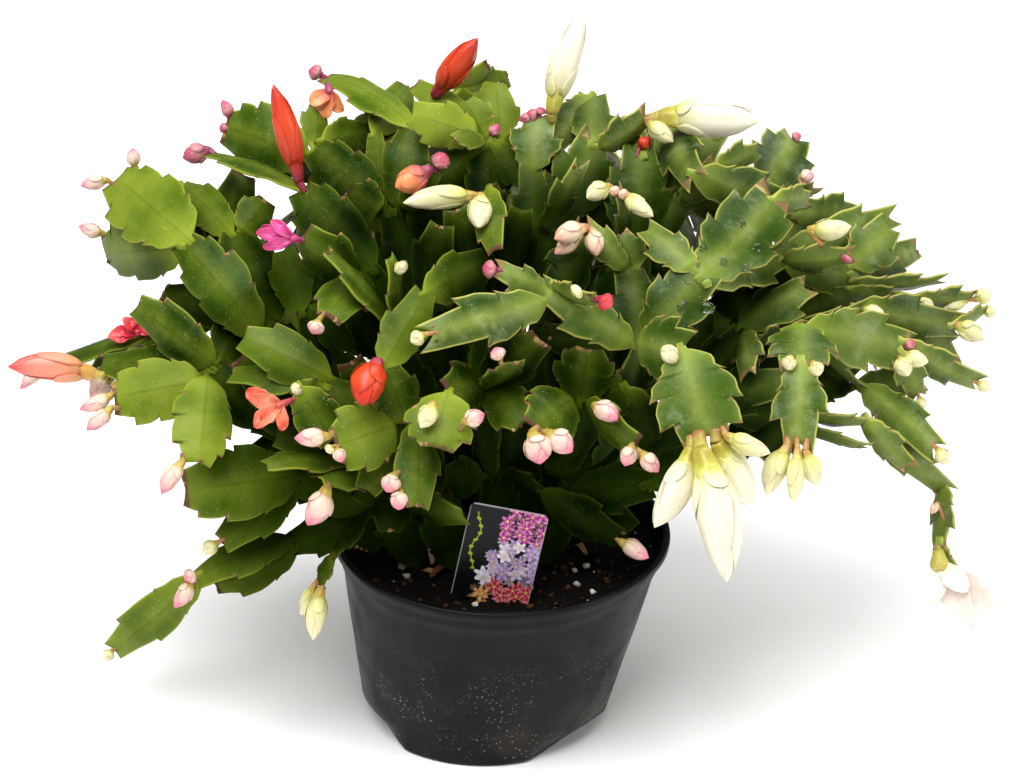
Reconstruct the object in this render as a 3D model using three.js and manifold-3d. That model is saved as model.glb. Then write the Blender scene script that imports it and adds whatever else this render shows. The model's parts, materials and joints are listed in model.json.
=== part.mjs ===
// Potted Christmas cactus: a round crown of arching, jointed flat stems with flower buds at their
// tips, in a soft black nursery pot with soil and a push-in label. Millimetres, +Z up.
// The origin is the middle of the pot's flat base; the front of the plant faces -Y.
import * as THREE from 'three';
import { mergeVertices } from 'three/addons/utils/BufferGeometryUtils.js';
import Module from 'manifold-3d';

const wasm = await Module();
wasm.setup();

// Pot
const potHeight = 100;
const rimRadius = 84;
const baseRadius = 62;
const potLean = 9; // the thin pot is pushed out of true: its rim sits this far to +X of its base
const wall = 1.4;
const floorThick = 2;
const potSides = 32;
const rimLip = 2.6;
const rimDepth = 4.5;
const stepBelowRim = 13;
const stepSize = 0.9;
const footHeight = 13;
const footBite = 9;
const footCount = 3;
const footTurn = THREE.MathUtils.degToRad(80); // where the first one is
const drainRadius = 4;

// Soil
const soilTop = 89;
const soilGap = 0.3;
const soilBump = 1.6;
const footEase = 2.8; // more room where the pot's foot is pushed in
const rootHole = 6.2;
const rootHalf = 2.6;
const rootDepth = 16;
const rootRise = 3;

// Label
const cardWidth = 38;
const cardHeight = 51;
const cardThick = 0.8;
const cardCorner = 3;
const stakeWidth = 12;
const stakeDepth = 30;
const slotTop = 12;
const cardLean = THREE.MathUtils.degToRad(11.6);
const cardPlace = new THREE.Vector3(2.6, -53, soilTop + 1.5);

// The view that the stems are placed in: right, up and towards the viewer, from a point on the
// pot's axis, in millimetres at that point's distance.
const viewTilt = THREE.MathUtils.degToRad(26);
const viewDistance = 1500;
const sightCentre = new THREE.Vector3(11, 30.2, 162);
const sightRight = new THREE.Vector3(1, 0, 0);
const sightUp = new THREE.Vector3(0, Math.sin(viewTilt), Math.cos(viewTilt));
const sightNear = new THREE.Vector3(0, -Math.cos(viewTilt), Math.sin(viewTilt));
const eye = sightCentre.clone().addScaledVector(sightNear, viewDistance);

// The crown of the plant bulges towards the viewer by crownBulge at its middle.
const crownBulge = 115;
const crownRim = -8;
const crownHalfWidth = 245;
const crownHalfHeight = 165;
const crownUp = -9;

// Stem segments and buds
const edgeHalf = 0.45;
const ribHalf = 1.4;
const jointHalf = 1.2;
const collarHalf = 0.9;
const collarReach = 4;
const sunk = 3;
const neckSpacing = 5.2; // between the necks of segments that grow from one tip
const neckSpread = 15; // the most that all of them take up
const neckRise = 2.6; // how far each is bent up clear of the next one behind it
const tipReach = 0.965;
const archShare = 0.05;
const cupShare = 0.16;
const budGap = 0.3;
const seatStep = 0.5;
const seatSteps = 36;
const seatGap = 0.5;
const seatReach = 12;
const loneBudLength = 17;
const flowerLift = 2;
const slack = 0.02;
const crossing = 0.001; // cubic millimetres that two segments may share before they count as crossing
const largeWidth = 30; // segments from this width on get the full outline

const colours = {
  pot: [0x1c1d1f, 0.45],
  soil: [0x1f1510, 0.95],
  card: [0x23242a, 0.4],
  round: [0x5a7f22, 0.5],
  claw: [0x5f8033, 0.5],
  pink: [0xf2b3ae, 0.5],
  cream: [0xf3e9b8, 0.5],
  white: [0xfaf6ea, 0.5],
  orange: [0xee6a34, 0.5],
  salmon: [0xe9786a, 0.6],
};

// A repeatable draw between 0 and 1.
function vary(seed) {
  const wave = Math.sin(seed * 12.9898 + 4.1414) * 43758.5453;
  return wave - Math.floor(wave);
}

// How far towards the viewer the crown's bulge comes at a place seen at (right, up).
function crownNear(right, up) {
  const across = right / crownHalfWidth;
  const above = (up - crownUp) / crownHalfHeight;
  return crownRim + crownBulge * (1 - across * across - above * above);
}

// The point seen at (right, up) that lies this near to the viewer.
function sighted(right, up, near) {
  const shrink = 1 - near / viewDistance;
  return sightCentre.clone()
    .addScaledVector(sightRight, right * shrink)
    .addScaledVector(sightUp, up * shrink)
    .addScaledVector(sightNear, near);
}

function solidOf(geometry) {
  const bare = geometry.clone();
  bare.deleteAttribute('normal');
  bare.deleteAttribute('uv');
  const merged = mergeVertices(bare, 1e-4);
  return new wasm.Manifold(new wasm.Mesh({
    numProp: 3,
    vertProperties: new Float32Array(merged.attributes.position.array),
    triVerts: new Uint32Array(merged.index.array),
  }));
}

function solidFrom(points, faces) {
  return new wasm.Manifold(new wasm.Mesh({
    numProp: 3,
    vertProperties: new Float32Array(points.flatMap((point) => point.toArray())),
    triVerts: new Uint32Array(faces.flat()),
  }));
}

function geometryOf(solid) {
  const mesh = solid.getMesh();
  const geometry = new THREE.BufferGeometry();
  geometry.setAttribute('position', new THREE.BufferAttribute(mesh.vertProperties, 3));
  geometry.setIndex(new THREE.BufferAttribute(mesh.triVerts, 1));
  geometry.computeVertexNormals();
  return geometry;
}

// The largest body of a solid; scraps that a cut leaves loose are dropped.
function mainBody(solid) {
  const bodies = solid.decompose();
  return bodies.reduce((best, body) => (body.volume() > best.volume() ? body : best));
}

function fused(solids) {
  return wasm.Manifold.union(solids);
}

function named(name, geometry, look) {
  const [color, roughness] = colours[look];
  const material = new THREE.MeshStandardMaterial({ color, roughness, metalness: 0 });
  const mesh = new THREE.Mesh(geometry, material);
  mesh.name = name;
  return mesh;
}

// Pot: a thin turned wall, leaning a little, whose foot is pushed in at three places round its edge.
function potRadius(height) {
  return baseRadius + (rimRadius - rimLip - baseRadius) * (height / potHeight);
}

function footPush(angle, height) {
  const wave = Math.cos(footCount * (angle - footTurn));
  const share = Math.max(0, wave) * Math.max(0, 1 - height / footHeight);
  return footBite * share;
}

function shapePot(geometry) {
  const place = geometry.attributes.position;
  for (let i = 0; i < place.count; i += 1) {
    const x = place.getX(i);
    const y = place.getY(i);
    const z = place.getZ(i);
    const radius = Math.hypot(x, y);
    const angle = Math.atan2(y, x);
    const edge = THREE.MathUtils.smoothstep(radius, baseRadius * 0.7, baseRadius * 0.98);
    const scale = radius > 0 ? 1 - (footPush(angle, z) * edge) / radius : 1;
    place.setXYZ(i, x * scale + potLean * (z / potHeight), y * scale, z);
  }
  return geometry;
}

function turned(profile) {
  const points = profile.map(([radius, height]) => new THREE.Vector2(radius, height));
  const lathe = new THREE.LatheGeometry(points, potSides);
  lathe.rotateX(Math.PI / 2);
  return shapePot(lathe);
}

function potSolid() {
  const stepHeight = potHeight - stepBelowRim;
  const outside = [
    [0, 0],
    [baseRadius - 10, 0],
    [baseRadius - 1.5, 0],
    [potRadius(2), 2],
    [potRadius(footHeight), footHeight],
    [potRadius(stepHeight), stepHeight],
    [potRadius(stepHeight) + stepSize, stepHeight + 1],
    [potRadius(potHeight - rimDepth) + stepSize, potHeight - rimDepth],
    [rimRadius, potHeight - rimDepth + 0.6],
    [rimRadius, potHeight - 1],
    [rimRadius - 1, potHeight],
    [rimRadius - rimLip - 0.5, potHeight],
  ];
  const inside = [
    [potRadius(potHeight - rimDepth) - wall + 0.5, potHeight - rimDepth],
    [potRadius(footHeight) - wall, footHeight],
    [potRadius(floorThick) - wall, floorThick],
    [baseRadius - 12, floorThick],
    [0, floorThick],
  ];
  const shell = solidOf(turned([...outside, ...inside]));
  const holes = Array.from({ length: footCount }, (_, k) => {
    const angle = footTurn + (k * 2 * Math.PI) / footCount;
    const drain = new THREE.CylinderGeometry(drainRadius, drainRadius, 16, 10);
    drain.rotateX(Math.PI / 2);
    drain.rotateX(0.9);
    drain.rotateZ(angle + Math.PI / 2);
    const reach = baseRadius - footBite * 0.6;
    drain.translate(Math.cos(angle) * reach, Math.sin(angle) * reach, footHeight * 0.42);
    return solidOf(drain);
  });
  return mainBody(shell.subtract(fused(holes)));
}

// Soil: fills the pot to just under its rim, clear of the wall, with a plain hole for each stem.
function soilHeight(x, y) {
  const slow = Math.sin(x * 0.11 + 1.3) * Math.cos(y * 0.13 - 0.4);
  const quick = Math.sin(x * 0.31 + y * 0.23) * Math.cos(y * 0.37 - x * 0.12);
  return soilBump * (0.65 * slow + 0.35 * quick);
}

function soilSolid(roots) {
  const inner = (height) => potRadius(height) - wall - soilGap;
  const profile = [
    [0, floorThick + soilGap],
    [baseRadius - 12, floorThick + soilGap],
    [inner(floorThick) - footEase, floorThick + soilGap],
    [inner(footHeight) - footEase, footHeight],
    [inner(soilTop) - 0.4, soilTop - 1],
    [66, soilTop],
    [48, soilTop],
    [30, soilTop],
    [13, soilTop],
    [0, soilTop],
  ];
  const body = turned(profile);
  const place = body.attributes.position;
  for (let i = 0; i < place.count; i += 1) {
    const z = place.getZ(i);
    if (z > soilTop - 0.5) {
      place.setZ(i, z + soilHeight(place.getX(i), place.getY(i)));
    }
  }
  const holes = roots.map(([x, y]) => {
    const hole = new THREE.BoxGeometry(rootHole, rootHole, rootDepth * 2 + 1);
    hole.translate(x, y, soilTop);
    return solidOf(hole);
  });
  const slots = [[stakeWidth, stakeDepth], [cardWidth, 0.5]].map(([width, depth]) => {
    const slot = new THREE.BoxGeometry(width + 0.8, cardThick + 0.8, depth + slotTop);
    slot.translate(0, 0, (slotTop - depth - 0.5) / 2);
    slot.rotateY(cardLean);
    slot.translate(cardPlace.x, cardPlace.y, cardPlace.z);
    return solidOf(slot);
  });
  return mainBody(solidOf(body).subtract(fused([...holes, ...slots])));
}

// Label: a rounded card that narrows to a stake, pushed into the soil and leaning to the right.
function labelSolid() {
  const half = cardWidth / 2;
  const top = cardHeight;
  const outline = new THREE.Shape();
  outline.moveTo(-stakeWidth / 2, 0);
  outline.lineTo(-half, 0);
  outline.lineTo(-half, top - cardCorner);
  outline.absarc(-half + cardCorner, top - cardCorner, cardCorner, Math.PI, Math.PI / 2, true);
  outline.absarc(half - cardCorner, top - cardCorner, cardCorner, Math.PI / 2, 0, true);
  outline.lineTo(half, 0);
  outline.lineTo(stakeWidth / 2, 0);
  outline.lineTo(stakeWidth / 2, -stakeDepth + 8);
  outline.lineTo(0, -stakeDepth);
  outline.lineTo(-stakeWidth / 2, -stakeDepth + 8);
  const card = new THREE.ExtrudeGeometry(outline, {
    depth: cardThick,
    bevelEnabled: false,
    curveSegments: 4,
  });
  card.translate(0, 0, -cardThick / 2);
  card.rotateX(Math.PI / 2);
  card.rotateY(cardLean);
  card.translate(cardPlace.x, cardPlace.y, cardPlace.z);
  return solidOf(card);
}

// Outlines of one stem segment, as [share of length, share of half width] from neck to tip, for
// its two sides. Round stems have blunt teeth, clawed stems have horns that point forward.
const outlines = {
  round: [
    [[0.24, 0.78], [0.5, 1.0], [0.57, 0.82], [0.78, 1.0], [0.84, 0.8], [1.0, 0.52]],
    [[0.3, 0.86], [0.66, 1.0], [0.73, 0.78], [0.99, 0.5]],
  ],
  claw: [
    [[0.2, 0.62], [0.42, 1.0], [0.48, 0.74], [0.76, 1.0], [0.81, 0.7], [1.1, 0.66]],
    [[0.26, 0.76], [0.62, 1.0], [0.68, 0.72], [1.08, 0.62]],
  ],
  roundSmall: [
    [[0.26, 0.8], [0.56, 1.0], [0.64, 0.78], [1.0, 0.54]],
    [[0.34, 0.88], [0.76, 0.98], [0.99, 0.5]],
  ],
  clawSmall: [
    [[0.24, 0.74], [0.56, 1.0], [0.62, 0.7], [1.09, 0.64]],
    [[0.3, 0.8], [0.7, 1.0], [1.06, 0.6]],
  ],
  plain: [
    [[0.28, 0.84], [0.72, 1.0], [1.0, 0.58]],
    [[0.32, 0.86], [0.76, 1.0], [0.98, 0.54]],
  ],
  petal: [
    [[0.4, 0.84], [0.78, 0.9]],
    [[0.4, 0.84], [0.78, 0.9]],
  ],
};

// The directions along, across and out of a segment's flat side.
function setFrame(blade) {
  blade.along = blade.to.clone().sub(blade.neck);
  blade.length = blade.along.length();
  blade.along.normalize();
  blade.across = new THREE.Vector3().crossVectors(blade.along, blade.face).normalize();
  blade.across.applyAxisAngle(blade.along, THREE.MathUtils.degToRad(blade.turn));
  blade.normal = new THREE.Vector3().crossVectors(blade.across, blade.along);
}

// A point of a segment: t is its share of the length, aside and above are in millimetres. The
// segment is arched along its length and cupped across.
function bladePoint(blade, t, aside, above) {
  const share = (2 * aside) / blade.width;
  const arch = archShare * blade.length * 4 * t * (1 - t);
  const cup = cupShare * blade.width * 0.5 * share * share;
  const rise = t > 0 ? blade.rise * (1 - t) : 0;
  return blade.neck.clone()
    .addScaledVector(blade.along, t * blade.length)
    .addScaledVector(blade.across, aside)
    .addScaledVector(blade.normal, arch - cup + above)
    .addScaledVector(blade.face, rise);
}

// Segments that grow from one tip stand side by side along it, and are bent clear of each other.
function spreadNecks(blades) {
  blades.forEach((parent, p) => {
    setFrame(parent);
    const children = blades.filter((blade) => blade.parent === p);
    const count = children.length;
    const pull = (blade, way) => blade.to.clone().sub(parent.to).normalize().dot(way);
    parent.spacing = Math.min(neckSpacing, neckSpread / Math.max(1, count));
    parent.children = [...children].sort((a, b) => pull(a, parent.across) - pull(b, parent.across));
    parent.children.forEach((blade, n) => {
      const slide = (n - (count - 1) / 2) * parent.spacing;
      blade.neck = bladePoint(parent, tipReach, slide, 0);
      blade.neckHalf = parent.spacing / 2;
      blade.joined = true;
      blade.stem = blades;
    });
    [...children].sort((a, b) => pull(a, a.face) - pull(b, b.face)).forEach((blade, n) => {
      blade.rise = (n - (count - 1) / 2) * neckRise;
    });
  });
  return blades;
}

// How far aside the tip's edge is divided between the segments that grow from it.
function portAside(blade, k) {
  return (k - blade.children.length / 2) * blade.spacing;
}

// Four points round a segment's neck: upper left, upper right, lower right, lower left.
function neckRing(blade, t, halfWidth, half) {
  return [[-1, 1], [1, 1], [1, -1], [-1, -1]].map(([side, level]) => (
    bladePoint(blade, t, side * halfWidth, level * half)
  ));
}

function addPoints(mesh, points) {
  return points.map((point) => mesh.points.push(point) - 1);
}

function addRod(mesh, low, high) {
  low.forEach((corner, k) => {
    const next = (k + 1) % 4;
    mesh.faces.push([corner, low[next], high[next]], [corner, high[next], high[k]]);
  });
}

// Adds a segment to a mesh, from the ring of four points that it grows out of. The segments on its
// tip that are `joined` grow out of the tip's edge in turn; the tip is closed where they aren't.
function growBlade(mesh, blade, ring, alone) {
  const fit = neckRing(blade, 0, 1, 1);
  const turnOf = (shift) => fit.reduce((sum, point, k) => (
    sum + point.distanceTo(mesh.points[ring[(k + shift) % 4]])
  ), 0);
  const shift = [0, 1, 2, 3].reduce((best, k) => (turnOf(k) < turnOf(best) ? k : best));
  let neck = ring.map((_, k) => ring[(k + shift) % 4]);
  if (blade.rise !== 0 || blade.parent < 0) {
    const reach = collarReach / blade.length;
    const collar = addPoints(mesh, neckRing(blade, reach, blade.neckHalf * 0.8, collarHalf));
    addRod(mesh, neck, collar);
    neck = collar;
  }
  const sides = outlines[blade.outline];
  const [left, right] = blade.flip > 0 ? sides : [...sides].reverse();
  const half = blade.width / 2;
  const count = blade.children.length;
  const ports = count === 0 ? [0] : [...Array(count + 1).keys()].map((k) => portAside(blade, k));
  const tipHalf = count === 0 ? edgeHalf : jointHalf;
  const hornReach = count === 0 ? 2 : tipReach - 0.01;
  const rim = [
    ...left.map(([t, h]) => [Math.min(t, hornReach), -h * half, edgeHalf]),
    ...ports.map((aside) => [tipReach, aside, tipHalf]),
    ...right.map(([t, h]) => [Math.min(t, hornReach), h * half, edgeHalf]).reverse(),
  ];
  const face = (side) => addPoints(mesh, [...rim, [0.5, 0, ribHalf]].map(([t, aside, h]) => (
    bladePoint(blade, t, aside, side * h)
  )));
  const upper = face(1);
  const lower = face(-1);
  const top = [neck[0], ...upper.slice(0, rim.length), neck[1]];
  const under = [neck[3], ...lower.slice(0, rim.length), neck[2]];
  const last = top.length - 1;
  for (let i = 0; i <= last; i += 1) {
    const j = (i + 1) % top.length;
    mesh.faces.push([top[j], top[i], upper[rim.length]], [under[i], under[j], lower[rim.length]]);
    const port = i - left.length - 1;
    const child = port >= 0 && port < count ? blade.children[port] : null;
    if (i === last) {
      continue;
    }
    if (child && child.joined && !alone) {
      growBlade(mesh, child, [top[i], top[j], under[j], under[i]], false);
    } else {
      mesh.faces.push([top[i], top[j], under[j]], [top[i], under[j], under[i]]);
    }
  }
}

// A closed solid of a segment, and of all that is joined to it unless it is wanted alone. A first
// segment has a square root that reaches down into the soil.
function bladeSolid(blade, alone) {
  const mesh = { points: [], faces: [[0, 3, 2], [0, 2, 1]] };
  let ring = [0, 1, 2, 3];
  if (blade.parent < 0) {
    const square = (drop) => [[-1, -1], [1, -1], [1, 1], [-1, 1]].map(([x, y]) => (
      new THREE.Vector3(x * rootHalf, y * rootHalf, -drop).add(blade.neck)
    ));
    addPoints(mesh, square(rootDepth));
    ring = addPoints(mesh, square(0));
    addRod(mesh, [0, 1, 2, 3], ring);
  } else if (blade.joined) {
    const parent = blade.stem[blade.parent];
    const place = parent.children.indexOf(blade);
    addPoints(mesh, [[0, 1], [1, 1], [1, -1], [0, -1]].map(([next, level]) => (
      bladePoint(parent, tipReach, portAside(parent, place + next), level * jointHalf)
    )));
  } else {
    addPoints(mesh, neckRing(blade, -sunk / blade.length, blade.neckHalf * 0.8, collarHalf));
  }
  growBlade(mesh, blade, ring, alone);
  return solidFrom(mesh.points, mesh.faces);
}

// One stem of many segments. They share their points where they join; one that crosses a segment of
// its own stem is a body of its own, sunk into the tip that it grows from and fused to it.
function stemSolid(blades) {
  const alone = blades.map((blade) => bladeSolid(blade, true));
  const bodyOf = (n) => (blades[n].parent >= 0 && blades[n].joined ? bodyOf(blades[n].parent) : n);
  blades.forEach((_, j) => {
    for (let i = 0; i < j; i += 1) {
      if (bodyOf(i) === bodyOf(j) && alone[i].intersect(alone[j]).volume() > crossing) {
        blades[j].joined = false;
      }
    }
  });
  const heads = blades.filter((blade, n) => bodyOf(n) === n);
  return fused(heads.map((blade) => bladeSolid(blade, false)));
}

// A closed bud: its green-yellow base, a waist, then folded petals that twist to a point.
function budSolid(from, to, girth, sides) {
  const along = to.clone().sub(from);
  const length = along.length();
  along.normalize();
  const side = new THREE.Vector3().crossVectors(along, sightNear).normalize();
  const other = new THREE.Vector3().crossVectors(along, side);
  const rings = sides > 5
    ? [[0, 0.2], [0.12, 0.33], [0.46, 0.5], [0.74, 0.38], [0.93, 0.15]]
    : [[0, 0.24], [0.45, 0.5], [0.85, 0.26]];
  const points = [];
  rings.forEach(([t, r], ring) => {
    for (let k = 0; k < sides; k += 1) {
      const fold = ring > 1 && k % 2 === 1 ? 0.84 : 1;
      const angle = ((k + ring * 0.35) * 2 * Math.PI) / sides;
      const radius = r * girth * fold;
      points.push(from.clone()
        .addScaledVector(along, t * length)
        .addScaledVector(side, radius * Math.cos(angle))
        .addScaledVector(other, radius * Math.sin(angle)));
    }
  });
  const foot = points.length;
  points.push(from, to);
  const faces = [];
  for (let k = 0; k < sides; k += 1) {
    const next = (k + 1) % sides;
    faces.push([foot, next, k]);
    for (let ring = 0; ring + 1 < rings.length; ring += 1) {
      const low = ring * sides;
      const high = low + sides;
      faces.push([low + k, low + next, high + next], [low + k, high + next, high + k]);
    }
    const last = (rings.length - 1) * sides;
    faces.push([last + k, last + next, foot + 1]);
  }
  return solidFrom(points, faces);
}

// A closed petal: a narrow, thin segment that is sunk into the flower's throat.
function petalSolid(throat, to, width, face) {
  const petal = {
    parent: 0, neck: throat, neckHalf: width * 0.2, rise: 0, to, width, face,
    turn: 0, outline: 'petal', flip: 1, children: [],
  };
  setFrame(petal);
  return bladeSolid(petal, true);
}

// A closed flower: a short tube with petals that fan out from its throat.
function flowerSolid(flower) {
  const tube = budSolid(flower.from, flower.to, flower.girth, 4);
  const throat = flower.from.clone().lerp(flower.to, 0.7);
  return fused([tube, ...flower.petals.map(([tip, width]) => petalSolid(throat, tip, width, sightNear))]);
}

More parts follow.
